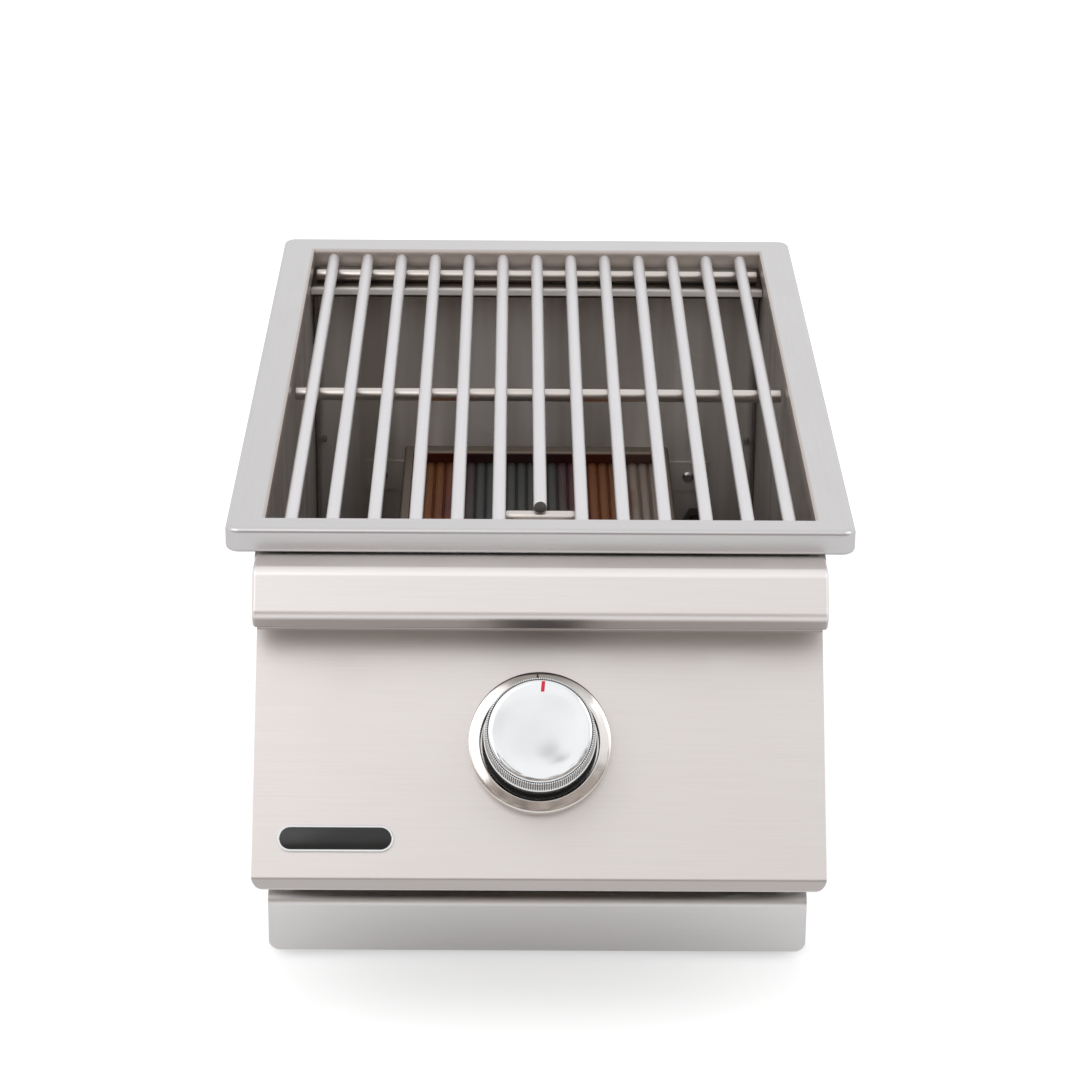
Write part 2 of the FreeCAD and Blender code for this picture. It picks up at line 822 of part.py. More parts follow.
TOE = [
    ("-face_y - wall", "-wall"),
    ("-face_y + toe_back", "-wall"),
    ("-face_y - wall", "toe_rise"),
]

# Box sides: each one sheet with flanges folded in round the front and rear walls and a
# narrow flange folded out under the rim. The front flange stops above the drip tray, and
# the toe behind the tray's front is cut off at a slant.
for side, name in ((1, "side_panel_right"), (-1, "side_panel_left")):
    panel = new_body(name)
    flat = sketch(panel, "XY")
    outline(flat, [
        (times(side, "out_x"), "-face_y"),
        (times(side, "out_x"), "face_y"),
        (times(side, "out_x - wall_flange"), "face_y"),
        (times(side, "out_x - wall_flange"), "out_y"),
        (times(side, "in_x"), "out_y"),
        (times(side, "in_x"), "-out_y"),
        (times(side, "out_x - wall_flange"), "-out_y"),
        (times(side, "out_x - wall_flange"), "-face_y"),
    ])
    pad(panel, flat, "wall_top - wall")
    fillet(panel, "wall_bend", [
        (times(side, "out_x"), "face_y", "counter"),
        (times(side, "out_x"), "-face_y", "counter"),
    ])
    fillet(panel, "wall_bend - wall", [
        (times(side, "in_x"), "out_y", "counter"),
        (times(side, "in_x"), "-out_y", "counter"),
    ])
    flat = sketch(panel, "XY", "wall_top - wall")
    rectangle(
        flat,
        times(side, "in_x"),
        "-out_y + wall_bend",
        times(side, "out_x + top_flange"),
        "out_y - wall_bend",
    )
    pad(panel, flat, "wall")
    flat = sketch(panel, "XZ", "out_y")
    rectangle(
        flat,
        times(side, "out_x - wall_flange - wall"),
        "-wall",
        times(side, "in_x"),
        "front_wall_foot",
    )
    pocket(panel, flat, "3 * wall", back=True)
    flat = sketch(panel, "YZ")
    outline(flat, TOE)
    pocket(panel, flat, "out_x + wall", back=side > 0)
    flat = sketch(panel, "YZ")
    for i in range(VENT_COUNT):
        slot(flat, "vent_pitch * %d" % (i - VENT_COUNT // 2), "vent_level", "vent_length", "vent_height")
    pocket(panel, flat, "out_x + wall", back=side > 0)
    flat = sketch(panel, "XZ")
    for i in range(REAR_SCREWS):
        circle(
            flat,
            times(side, "out_x - wall_flange / 2"),
            "rear_screw_low + screw_pitch * %d" % i,
            "screw_dia / 2",
        )
    pocket(panel, flat, "face_y + wall")
    keep(panel, name)

# Rear wall: a sheet between the sides, folded out under the rim and in over the floor,
# with a row of air slots low down and the hole for the gas inlet.
rear_panel = new_body("rear_panel")
flat = sketch(rear_panel, "XY")
rectangle(flat, "-wall_reach", "in_y", "wall_reach", "out_y")
pad(rear_panel, flat, "wall_top")
flat = sketch(rear_panel, "XY", "wall_top - wall")
rectangle(flat, "-out_x + wall_flange + wall", "in_y", "out_x - wall_flange - wall", "out_y + top_flange")
pad(rear_panel, flat, "wall")
flat = sketch(rear_panel, "XY", "wall")
rectangle(flat, "-out_x + wall_flange", "in_y - front_wall_fold", "out_x - wall_flange", "out_y")
pad(rear_panel, flat, "wall")
flat = sketch(rear_panel, "XZ")
for i in range(VENT_COUNT - 1):
    slot(flat, "vent_pitch * %d - pipe_bend" % (i - VENT_COUNT // 2), "vent_level", "vent_length", "vent_height")
circle(flat, "pipe_x", "pipe_level", "bulkhead_dia / 2 + hole_slack")
for side in (1, -1):
    circle(flat, times(side, "support_screw_reach"), TAB_MIDDLE, "screw_dia / 2 + hole_slack")
    for i in range(REAR_SCREWS):
        circle(
            flat,
            times(side, "out_x - wall_flange / 2"),
            "rear_screw_low + screw_pitch * %d" % i,
            "screw_dia / 2",
        )
pocket(rear_panel, flat, "out_y + wall")
keep(rear_panel, "rear_panel")

# Front wall: the fire wall between burner and controls; it stops above the drip tray.
front_wall = new_body("front_wall")
flat = sketch(front_wall, "XY", "front_wall_foot")
rectangle(flat, "-wall_reach", "-out_y", "wall_reach", "-in_y")
pad(front_wall, flat, "wall_top - front_wall_foot")
flat = sketch(front_wall, "XY", "wall_top - wall")
rectangle(flat, "-out_x + wall_flange + wall", "-out_y - top_flange", "out_x - wall_flange - wall", "-in_y")
pad(front_wall, flat, "wall")
flat = sketch(front_wall, "XY", "front_wall_foot")
rectangle(flat, "-out_x + wall_flange", "-out_y", "out_x - wall_flange", "-in_y + front_wall_fold")
pad(front_wall, flat, "wall")
flat = sketch(front_wall, "XZ")
circle(flat, "0", "port_z", "mixer_out + mixer_hole_slack")
circle(flat, "pipe_x", "pipe_level", "pipe_dia / 2 + grommet_wall")
circle(flat, "-wire_reach", "electrode_level", "wire_dia / 2 + grommet_wall")
for side in (1, -1):
    circle(flat, times(side, "support_screw_reach"), TAB_MIDDLE, "screw_dia / 2 + hole_slack")
pocket(front_wall, flat, "out_y + wall", back=True)
keep(front_wall, "front_wall")

# Floor: a shallow channel that closes the box under the drip tray, cut off at the front
# with the sides.
floor_panel = new_body("floor_panel")
flat = sketch(floor_panel, "XZ")
outline(flat, [
    ("-in_x + floor_slack", "0"),
    ("in_x - floor_slack", "0"),
    ("in_x - floor_slack", "floor_side"),
    ("in_x - floor_slack - wall", "floor_side"),
    ("in_x - floor_slack - wall", "wall"),
    ("-in_x + floor_slack + wall", "wall"),
    ("-in_x + floor_slack + wall", "floor_side"),
    ("-in_x + floor_slack", "floor_side"),
])
pad(floor_panel, flat, "2 * (in_y - floor_slack)", middle=True)
fillet(floor_panel, "wall_bend", [("in_x - floor_slack", "0", "0"), ("-in_x + floor_slack", "0", "0")])
fillet(floor_panel, "wall_bend - wall", [
    ("in_x - floor_slack - wall", "0", "wall"),
    ("-in_x + floor_slack + wall", "0", "wall"),
])
flat = sketch(floor_panel, "YZ")
outline(flat, TOE)
pocket(floor_panel, flat, "2 * out_x", middle=True)
keep(floor_panel, "floor_panel")

# Ledges that carry the grate: an angle on the rear wall and one on the front wall,
# each with its free edge folded down.
for side, depth, name in (
    (1, "ledge_depth_rear", "grate_ledge_rear"),
    (-1, "ledge_depth_front", "grate_ledge_front"),
):
    ledge = new_body(name)
    flat = sketch(ledge, "YZ")
    free_edge = "in_y - " + depth
    outline(flat, [
        (times(side, "in_y"), "shelf_top"),
        (times(side, "in_y"), "shelf_top - ledge_leg"),
        (times(side, "in_y - ledge_sheet"), "shelf_top - ledge_leg"),
        (times(side, "in_y - ledge_sheet"), "shelf_top - ledge_sheet"),
        (times(side, free_edge + " + ledge_sheet"), "shelf_top - ledge_sheet"),
        (times(side, free_edge + " + ledge_sheet"), "shelf_top - ledge_lip"),
        (times(side, free_edge), "shelf_top - ledge_lip"),
        (times(side, free_edge), "shelf_top"),
    ])
    pad(ledge, flat, "2 * (in_x - ledge_slack)", middle=True)
    fillet(ledge, "ledge_bend", [
        ("0", times(side, free_edge), "shelf_top"),
        ("0", times(side, "in_y"), "shelf_top"),
    ])
    fillet(ledge, "ledge_bend - ledge_sheet", [
        ("0", times(side, free_edge + " + ledge_sheet"), "shelf_top - ledge_sheet"),
        ("0", times(side, "in_y - ledge_sheet"), "shelf_top - ledge_sheet"),
    ])
    keep(ledge, name)

# Grate: thirteen round bars, front to back, welded on three cross rods. The middle bar is
# cut short over a fourth, short rod, which leaves a place for a lifting hook.
bars = []
for i in range(BAR_COUNT):
    start = "lift_rod_y - lift_bar_overhang" if i == LIFT_BAR else "-bar_half"
    bar = turned("bar_%d" % (i + 1), round_bar("bar_dia / 2", "bar_half - (" + start + ")"))
    bars.append(place(bar, "bar_pitch * %d" % (i - LIFT_BAR), start, "bar_axis", X_AXIS, "-90"))
group("grate_bars", bars)
rods = []
for name, level_y, half in (
    ("front_rod", "-rod_end_y", "open_x - rod_slack"),
    ("middle_rod", "rod_middle", "open_x - rod_slack"),
    ("rear_rod", "rod_end_y", "open_x - rod_slack"),
    ("lift_rod", "lift_rod_y", "bar_pitch + bar_dia / 2"),
):
    rod = turned(name, round_bar("rod_dia / 2", "2 * (" + half + ")"))
    rods.append(place(rod, "-(" + half + ")", level_y, "rod_axis", Y_AXIS, "90"))
group("grate_rods", rods)

# Front rail: a hollow folded nose under the rim, closed at both ends, whose top sheet runs
# back to the box.
front_rail = new_body("front_rail")
flat = sketch(front_rail, "YZ")
outline(flat, [
    ("flange_y", "rail_top"),
    ("nose_y", "nose_z"),
    ("chin_y", "chin_z"),
    ("foot_y", "foot_z"),
    ("flange_y", "foot_z"),
])
pad(front_rail, flat, "2 * rail_x", middle=True)
fillet(front_rail, "rail_bend_top", [("0", "nose_y", "nose_z")])
fillet(front_rail, "rail_bend_nose", [("0", "chin_y", "chin_z")])
fillet(front_rail, "rail_foot_bend", [("0", "foot_y", "foot_z")])
fillet(front_rail, "rail_end_edge", [
    ("rail_x", "(nose_y + flange_y) / 2", "rail_top"),
    ("-rail_x", "(nose_y + flange_y) / 2", "rail_top"),
])
hollow(front_rail, "wall", [("0", "flange_y", "(rail_top + foot_z) / 2")])
flat = sketch(front_rail, "XY", "rail_top - wall")
rectangle(flat, "-rail_x", "flange_y", "rail_x", "-face_y")
pad(front_rail, flat, "wall")
keep(front_rail, "front_rail")

# Control panel: one sheet folded into a sloped face with side flanges, a vertical lip at
# the foot and a flange back to the box at the top, with the hole for the knob.
panel_body = new_body("control_panel_fold")
flat = sketch(panel_body, "YZ")
outline(flat, [
    ("-face_y", "panel_top"),
    ("flange_y", "panel_top"),
    ("flange_y", "bend_z"),
    ("lip_y", "lip_z"),
    ("lip_y", "lip_foot"),
    (behind_at_level("lip_foot", "panel_flange"), "lip_foot"),
    ("-face_y", behind_at("-face_y", "panel_flange")),
])
pad(panel_body, flat, "2 * panel_x", middle=True)
fillet(panel_body, "panel_bend", [
    ("0", "flange_y", "panel_top"),
    ("0", "flange_y", "bend_z"),
    ("0", "lip_y", "lip_z"),
    ("0", "lip_y", "lip_foot"),
])
inside = new_body("control_panel_inside")
flat = sketch(inside, "YZ")
outline(flat, [
    ("0", "panel_top - panel_sheet"),
    ("flange_y + panel_sheet", "panel_top - panel_sheet"),
    ("flange_y + panel_sheet", behind_at("flange_y + panel_sheet", "panel_sheet")),
    ("lip_y + panel_sheet", behind_at("lip_y + panel_sheet", "panel_sheet")),
    ("lip_y + panel_sheet", "lip_foot + panel_sheet"),
    ("0", "lip_foot + panel_sheet"),
])
pad(inside, flat, "2 * (panel_x - panel_sheet)", middle=True)
fillet(inside, "panel_bend - panel_sheet", [
    ("0", "flange_y + panel_sheet", "panel_top - panel_sheet"),
    ("0", "flange_y + panel_sheet", behind_at("flange_y + panel_sheet", "panel_sheet")),
    ("0", "lip_y + panel_sheet", behind_at("lip_y + panel_sheet", "panel_sheet")),
    ("0", "lip_y + panel_sheet", "lip_foot + panel_sheet"),
])
outer = shared("control_panel_outside", panel_body, rounded_front("control_panel_view", "0"))
inner = shared("control_panel_hollow", inside, rounded_front("control_panel_hollow_view", "panel_sheet"))
holes = [inner]
holes.append(axis_cylinder("knob_hole_tool", "0", "-2 * panel_sheet", "knob_hole / 2", "4 * panel_sheet"))
for side in (1, -1):
    holes.append(axis_cylinder(
        "screw_hole_tool",
        times(side, "bezel_screw_reach"),
        "-2 * panel_sheet",
        "screw_dia / 2 + hole_slack",
        "4 * panel_sheet",
    ))
cut_from("control_panel", outer, holes)

# Side plates that close the space behind the panel, inside the panel's own side flanges.
for side, name in ((1, "control_side_right"), (-1, "control_side_left")):
    plate = new_body(name)
    flat = sketch(plate, "YZ", times(side, "panel_x - panel_sheet - side_slack - wall / 2"))
    inset = "(panel_sheet + side_slack)"
    outline(flat, [
        ("-face_y", "knob_level - side_foot_drop"),
        ("-face_y", "panel_top - " + inset),
        ("flange_y + panel_bend", "panel_top - " + inset),
        ("flange_y + panel_bend", behind_at("flange_y + panel_bend", inset)),
        (behind_at_level("lip_z + panel_bend", inset), "lip_z + panel_bend"),
        ("lip_y + panel_flange", "lip_z + panel_bend"),
    ])
    pad(plate, flat, "wall", middle=True)
    keep(plate, name)

# Heat shield: a shallow channel that stands off the front wall, between fire and controls.
heat_shield = new_body("heat_shield")
flat = sketch(heat_shield, "YZ")
outline(flat, [
    ("shield_y", "shield_foot"),
    ("shield_y", "shield_top"),
    ("-out_y", "shield_top"),
    ("-out_y", "shield_top - wall"),
    ("shield_y + wall", "shield_top - wall"),
    ("shield_y + wall", "shield_foot + wall"),
    ("-out_y", "shield_foot + wall"),
    ("-out_y", "shield_foot"),
])
pad(heat_shield, flat, "2 * shield_x", middle=True)
fillet(heat_shield, "wall_bend", [("0", "shield_y", "shield_foot"), ("0", "shield_y", "shield_top")])
flat = sketch(heat_shield, "XZ")
circle(flat, "0", "port_z", "shield_hole / 2")
circle(flat, "-wire_reach", "electrode_level", "shield_wire_hole / 2")
pocket(heat_shield, flat, "-shield_y + wall", back=True)
keep(heat_shield, "heat_shield")

# Bezel: a raised ring round the knob with a thin floor, held by the two valve screws.
bezel = turned("bezel_ring", [
    ("bezel_hub_hole / 2", "0"),
    ("bezel_outer / 2", "0"),
    ("bezel_outer / 2", "bezel_height - bezel_edge"),
    ("bezel_outer / 2 - bezel_edge", "bezel_height"),
    ("bezel_inner / 2 + bezel_edge / 2", "bezel_height"),
    ("bezel_inner / 2", "bezel_height - bezel_edge / 2"),
    ("bezel_inner / 2", "bezel_web"),
    ("bezel_hub_hole / 2", "bezel_web"),
])
flat = sketch(bezel, "XY", "bezel_web")
for side in (1, -1):
    circle(flat, times(side, "bezel_screw_reach"), "0", "screw_dia / 2 + hole_slack")
pocket(bezel, flat, "bezel_web")
keep(on_knob_axis(bezel), "bezel_ring")

screws = []
for side in (1, -1):
    one = screw("bezel_screw", "screw_head", "screw_head_tall", "screw_dia", "bezel_screw_length")
    screws.append(place(
        one,
        times(side, "bezel_screw_reach"),
        along_axis_y("bezel_web"),
        along_axis_z("bezel_web"),
        X_AXIS,
        "axis_turn",
    ))
group("bezel_screws", screws)

# Valve bonnet: a die-cast plate behind the panel with a hollow hub round the stem.
bonnet = new_body("valve_bonnet")
flat = sketch(bonnet, "XY", "bonnet_top - bonnet_plate")
rectangle(flat, "-bonnet_long / 2", "-bonnet_tall / 2", "bonnet_long / 2", "bonnet_tall / 2")
pad(bonnet, flat, "bonnet_plate")
fillet(bonnet, "bonnet_corner", [
    (times(a, "bonnet_long / 2"), times(b, "bonnet_tall / 2"), "bonnet_top - bonnet_plate / 2")
    for a in (1, -1) for b in (1, -1)
])
flat = sketch(bonnet, "XY", "bonnet_end")
circle(flat, "0", "0", "bonnet_hub / 2")
pad(bonnet, flat, "bonnet_depth + bonnet_top")
flat = sketch(bonnet, "XY", "bonnet_end")
circle(flat, "0", "0", "bonnet_bore / 2")
pocket(bonnet, flat, "bonnet_depth + bonnet_top - bonnet_wall", back=True)
flat = sketch(bonnet, "XY", "bonnet_top")
circle(flat, "0", "0", "bore")
for side in (1, -1):
    circle(flat, times(side, "bezel_screw_reach"), "0", "screw_dia / 2")
pocket(bonnet, flat, "2 * bonnet_plate")
keep(on_knob_axis(bonnet), "valve_bonnet")

# Valve body: a brass-like casting with a blind bore for the stem, an outlet straight back
# to the burner and an inlet to the right for the gas pipe.
casting = doc.addObject("Part::MultiFuse", "valve_casting")
casting.Shapes = [
    axis_cylinder("valve_barrel", "0", "-valve_end", "valve_dia / 2", "valve_end - bonnet_depth"),
    cylinder("valve_outlet", "0", "port_y", "port_z", X_AXIS, "-90", "outlet_dia / 2", "outlet_reach"),
    cylinder("valve_inlet", "0", "port_y", "port_z", Y_AXIS, "90", "inlet_dia / 2", "inlet_reach"),
]
cut_from("valve_body", casting, [
    axis_cylinder("stem_bore", "0", "bonnet_end - valve_bore_depth", "bore", "valve_bore_depth"),
])

# Stem: a turned shaft with a shoulder that presses the collar, and a flat for the knob.
stem = turned("valve_stem", [
    ("0", "stem_low"),
    ("stem_dia / 2", "stem_low"),
    ("stem_dia / 2", "collar_top"),
    ("shoulder_dia / 2", "collar_top"),
    ("shoulder_dia / 2", "shoulder_top"),
    ("stem_dia / 2", "shoulder_top"),
    ("stem_dia / 2", "stem_tip - bar_chamfer"),
    ("stem_dia / 2 - bar_chamfer", "stem_tip"),
    ("0", "stem_tip"),
])
flat = sketch(stem, "XY", "stem_tip")
rectangle(flat, "-stem_dia", "stem_flat", "stem_dia", "stem_dia")
pocket(stem, flat, "stem_flat_long")
keep(on_knob_axis(stem), "valve_stem")

collar = turned("thrust_collar", [
    ("bore", "collar_low"),
    ("collar_dia / 2", "collar_low"),
    ("collar_dia / 2", "collar_top"),
    ("bore", "collar_top"),
])
keep(on_knob_axis(collar), "thrust_collar")

# Return spring: an open coil between the valve body and the collar.
WIRE_SIDES = 6
coil_height = value("collar_low - bonnet_end - 2 * spring_gap - spring_wire")
coil_radius = value("(spring_dia - spring_wire) / 2 + spring_gap")
helix = Part.makeHelix(coil_height / value("spring_turns"), coil_height, coil_radius)
wire_turns = [2 * pi * i / WIRE_SIDES for i in range(WIRE_SIDES + 1)]
wire_radius = value("spring_wire / 2")
wire_ring = Part.makePolygon([
    V(coil_radius + wire_radius * cos(turn), 0, wire_radius * sin(turn)) for turn in wire_turns
])
coil = Part.Wire(helix.Edges).makePipeShell([wire_ring], True, True)
spring = doc.addObject("Part::Feature", "return_spring")
spring.Shape = coil
coil_start = "bonnet_end + spring_gap + spring_wire / 2"
place(spring, "0", along_axis_y(coil_start), along_axis_z(coil_start), X_AXIS, "axis_turn")
keep(spring, "return_spring")

# Orifice: a turned brass jet that pokes into the mouth of the mixer tube.
jet = turned("orifice", [
    ("orifice_bore / 2", "0"),
    ("orifice_dia / 2", "0"),
    ("orifice_dia / 2", "orifice_straight"),
    ("orifice_bore", "orifice_length"),
    ("orifice_bore / 2", "orifice_length"),
])
keep(place(jet, "0", "outlet_y", "port_z", X_AXIS, "-90"), "orifice")

# Knob: a black moulded base with a hub on the stem, and a plated cap pressed over it.
base = turned("knob_base", [
    ("stem_dia / 2", "knob_low + bezel_web"),
    ("hub_dia / 2", "knob_low + bezel_web"),
    ("hub_dia / 2", "knob_split - knob_web"),
    ("base_wall_in", "knob_split - knob_web"),
    ("base_wall_in", "knob_low"),
    ("knob_base_dia / 2", "knob_low"),
    ("knob_base_dia / 2", "knob_low + knob_base_step"),
    ("knob_rim_dia / 2 - knob_base_inset", "knob_low + knob_base_step"),
    ("knob_rim_dia / 2 - knob_base_inset", "knob_split"),
    ("hub_dia / 2", "knob_split"),
    ("hub_dia / 2", "plug_top"),
    ("stem_dia / 2", "plug_top"),
])
keep(on_knob_axis(base), "knob_base")
cap = turned("knob_cap", [
    ("0", "plug_top"),
    ("knob_face_dia / 2 - knob_wall", "plug_top"),
    ("knob_rim_dia / 2 - knob_wall", "knob_split"),
    ("knob_rim_dia / 2", "knob_split"),
    ("knob_face_dia / 2", "knob_face_level - knob_edge"),
    ("knob_face_dia / 2 - knob_edge_side", "knob_face_level - knob_edge_fall"),
    ("knob_face_dia / 2 - knob_edge", "knob_face_level"),
    ("0", "knob_face_level"),
])
keep(on_knob_axis(cap), "knob_cap")
clip = new_body("knob_clip")
flat = sketch(clip, "XY", "stem_tip - stem_flat_long + clip_inset")
rectangle(flat, "-clip_wide / 2", "stem_flat", "clip_wide / 2", "stem_flat + clip_thick")
pad(clip, flat, "clip_long")
keep(on_knob_axis(clip), "knob_clip")

# Spark module: a moulded box beside the valve, tripped by the stem, with its lead to the
# electrode through a bush in the front wall.
module = new_body("spark_module")
flat = sketch(module, "XY", "bonnet_top - bonnet_plate - module_long")
rectangle(
    flat,
    "-valve_dia / 2 - module_gap - module_wide",
    "-module_tall / 2",
    "-valve_dia / 2 - module_gap",
    "module_tall / 2",
)
pad(module, flat, "module_long")
fillet(module, "module_edge", [
    ("-valve_dia / 2 - module_gap", "module_tall / 2", "bonnet_end"),
    ("-valve_dia / 2 - module_gap", "-module_tall / 2", "bonnet_end"),
    ("-valve_dia / 2 - module_gap - module_wide", "module_tall / 2", "bonnet_end"),
    ("-valve_dia / 2 - module_gap - module_wide", "-module_tall / 2", "bonnet_end"),
])
keep(on_knob_axis(module), "spark_module")
wire_x = "-valve_dia / 2 - module_gap - module_wide / 2"
wire_y = "knob_y + module_tall / 2 * sin(panel_tilt) + wire_exit * cos(panel_tilt)"
wire_z = "knob_level + module_tall / 2 * cos(panel_tilt) - wire_exit * sin(panel_tilt)"
insulator_front = "burner_middle - burner_y - electrode_lead"
tube_along("spark_wire", [
    (wire_x, wire_y, wire_z),
    (wire_x, wire_y + " + wire_rise * sin(panel_tilt)", wire_z + " + wire_rise * cos(panel_tilt)"),
    ("-wire_reach", "wire_turn", "electrode_level"),
    ("-wire_reach", insulator_front, "electrode_level"),
], "wire_bend", "wire_dia / 2")
bush("wire_grommet", "-wire_reach", "electrode_level", "wire_dia / 2")

# Gas supply: a bent tube from the valve to a brass flare fitting in the rear wall.
tube_along("supply_pipe", [
    ("inlet_reach", "port_y", "port_z"),
    ("pipe_x", "port_y", "port_z"),
    ("pipe_x", "port_y", "pipe_level"),
    ("pipe_x", "fitting_y", "pipe_level"),
], "pipe_bend", "pipe_dia / 2", "pipe_bore / 2")
bush("pipe_grommet", "pipe_x", "pipe_level", "pipe_dia / 2")
fitting = new_body("inlet_fitting")
flat = sketch(fitting, "XY")
hexagon(flat, "fitting_hex")
pad(fitting, flat, "fitting_hex_long")
flat = sketch(fitting, "XY", "fitting_hex_long")
circle(flat, "0", "0", "bulkhead_dia / 2")
pad(fitting, flat, "wall + nut_thick + bulkhead_spare")
flat = sketch(fitting, "XY", "fitting_hex_long")
circle(flat, "0", "0", "fitting_shank / 2")
pad(fitting, flat, "wall + fitting_out")
tip = ("fitting_shank / 2", "0", "fitting_hex_long + wall + fitting_out")
names = edges_through(fitting, [tip])
tapered = fitting.Tip
cone = fitting.newObject("PartDesign::Chamfer", "fitting_cone_cut")
cone.Base = (tapered, names)
cone.setExpression("Size", bind("fitting_cone"))
doc.recompute()
flat = sketch(fitting, "XY", "fitting_hex_long + wall + fitting_out")
circle(flat, "0", "0", "fitting_bore / 2")
pocket(fitting, flat, "fitting_hex_long + wall + fitting_out")
keep(place(fitting, "pipe_x", "fitting_y", "pipe_level", X_AXIS, "-90"), "inlet_fitting")
nut = new_body("bulkhead_nut")
flat = sketch(nut, "XY")
hexagon(flat, "nut_hex")
circle(flat, "0", "0", "bulkhead_dia / 2 + running_fit")
pad(nut, flat, "nut_thick")
keep(place(nut, "pipe_x", "out_y", "pipe_level", X_AXIS, "-90"), "bulkhead_nut")

# Burner supports: two angles from front wall to rear wall, screwed at each end.
screws = []
for side, name in ((1, "burner_support_right"), (-1, "burner_support_left")):
    rail = new_body(name)
    flat = sketch(rail, "XZ")
    outline(flat, [
        (times(side, "support_in"), "burner_foot"),
        (times(side, "support_out"), "burner_foot"),
        (times(side, "support_out"), "burner_foot - support_leg"),
        (times(side, "support_out - support_sheet"), "burner_foot - support_leg"),
        (times(side, "support_out - support_sheet"), "burner_foot - support_sheet"),
        (times(side, "support_in"), "burner_foot - support_sheet"),
    ])
    pad(rail, flat, "2 * in_y", middle=True)
    for end in (1, -1):
        flat = sketch(rail, "XZ", times(-end, "in_y"))
        rectangle(
            flat,
            times(side, "support_out - support_sheet"),
            "tab_level",
            times(side, "support_tab_out"),
            "tab_level + support_tab_tall",
        )
        pad(rail, flat, "support_sheet", back=end < 0)
    flat = sketch(rail, "XZ")
    circle(flat, times(side, "support_screw_reach"), TAB_MIDDLE, "screw_dia / 2 + hole_slack")
    pocket(rail, flat, "2 * in_y + wall", middle=True)
    keep(rail, name)
    for end in (1, -1):
        one = screw("support_screw", "screw_head", "screw_head_tall", "screw_dia", "screw_length")
        screws.append(place(
            one,
            times(side, "support_screw_reach"),
            times(end, "in_y - support_sheet"),
            TAB_MIDDLE,
            X_AXIS,
            "90" if end > 0 else "-90",
        ))
group("support_screws", screws)

screws = []
for side in (1, -1):
    for i in range(REAR_SCREWS):
        one = screw("rear_screw", "screw_head", "screw_head_tall", "screw_dia", "screw_length")
        level = "rear_screw_low + screw_pitch * %d" % i
        screws.append(place(one, times(side, "out_x - wall_flange / 2"), "face_y", level, X_AXIS, "-90"))
group("rear_screws", screws)

# Burner pan: a pressed tub that holds the gas mixture under the plaques.
tub = []
for name, inset, foot, tall in (
    ("burner_pan_outside", "0", "burner_foot", "pan_top - burner_foot"),
    ("burner_pan_inside", "burner_sheet", "burner_foot + burner_sheet", "pan_top - burner_foot"),
):
    block = new_body(name)
    half_x = "(pan_x - " + inset + ")"
    half_y = "(pan_y - " + inset + ")"
    flat = sketch(block, "XY", foot)
    rectangle(flat, "-" + half_x, "burner_middle - " + half_y, half_x, "burner_middle + " + half_y)
    pad(block, flat, tall)
    fillet(block, "burner_bend - " + inset, [
        (times(a, half_x), "burner_middle + " + times(b, half_y), "(pan_top + burner_foot) / 2")
        for a in (1, -1) for b in (1, -1)
    ])
    fillet(block, "pan_bend - " + inset, [("0", "burner_middle - " + half_y, foot)])
    tub.append(block)
mouth = cylinder("mixer_hole", "0", "burner_middle - pan_y - burner_sheet", "port_z", X_AXIS, "-90",
                 "mixer_out", "3 * burner_sheet")
cut_from("burner_pan", tub[0], [tub[1], mouth])

# Burner frame: the lid that clamps screen and plaques, with a flat rim round its window.
frame = new_body("burner_frame")
flat = sketch(frame, "XY", "burner_top - frame_skirt")
rectangle(flat, "-burner_x", "burner_middle - burner_y", "burner_x", "burner_middle + burner_y")
rectangle(flat, "-window_x", "burner_middle - window_y", "window_x", "burner_middle + window_y")
pad(frame, flat, "frame_skirt")
fillet(frame, "burner_corner", [
    (times(a, "burner_x"), "burner_middle + " + times(b, "burner_y"), "burner_top - frame_skirt / 2")
    for a in (1, -1) for b in (1, -1)
])
fillet(frame, "frame_bend", [
    ("0", "burner_middle - burner_y", "burner_top"),
    ("0", "burner_middle - window_y", "burner_top"),
    ("0", "burner_middle + window_y", "burner_top"),
])
flat = sketch(frame, "XY", "burner_top - frame_skirt")
rectangle(
    flat,
    "-burner_x + burner_sheet",
    "burner_middle - burner_y + burner_sheet",
    "burner_x - burner_sheet",
    "burner_middle + burner_y - burner_sheet",
)
rectangle(
    flat,
    "-window_x - burner_sheet",
    "burner_middle - window_y - burner_sheet",
    "window_x + burner_sheet",
    "burner_middle + window_y + burner_sheet",
)
pocket(frame, flat, "frame_skirt - burner_sheet", back=True)
keep(frame, "burner_frame")

# Screen: the ribbed radiant sheet in the burner's window, its ribs running front to back.
screen = new_body("burner_screen")
flat = sketch(screen, "XY", "screen_top - screen_sheet")
rectangle(
    flat,
    "-window_x - screen_lap",
    "burner_middle - window_y - screen_lap",
    "window_x + screen_lap",
    "burner_middle + window_y + screen_lap",
)
pad(screen, flat, "screen_sheet")
rib_count = int(value("(2 * window_x - 2 * rib_inset) / rib_pitch"))
flat = sketch(screen, "XZ", "-burner_middle")
rib_left = "-rib_pitch * %f" % (rib_count / 2)
outline(flat, [
    (rib_left, "screen_top"),
    (rib_left + " + rib_slope", "screen_top + rib_side_height"),
    (rib_left + " + rib_shoulder", "screen_top + rib_height"),
    (rib_left + " + rib_pitch - rib_shoulder", "screen_top + rib_height"),
    (rib_left + " + rib_pitch - rib_slope", "screen_top + rib_side_height"),
    (rib_left + " + rib_pitch - rib_gap", "screen_top"),
])
rib = pad(screen, flat, "2 * (window_y - rib_inset)", middle=True)
ribs = screen.newObject("PartDesign::LinearPattern", "screen_ribs")
ribs.Originals = [rib]
ribs.Direction = (flat, ["H_Axis"])
ribs.setExpression("Length", bind("rib_pitch * %d" % (rib_count - 1)))
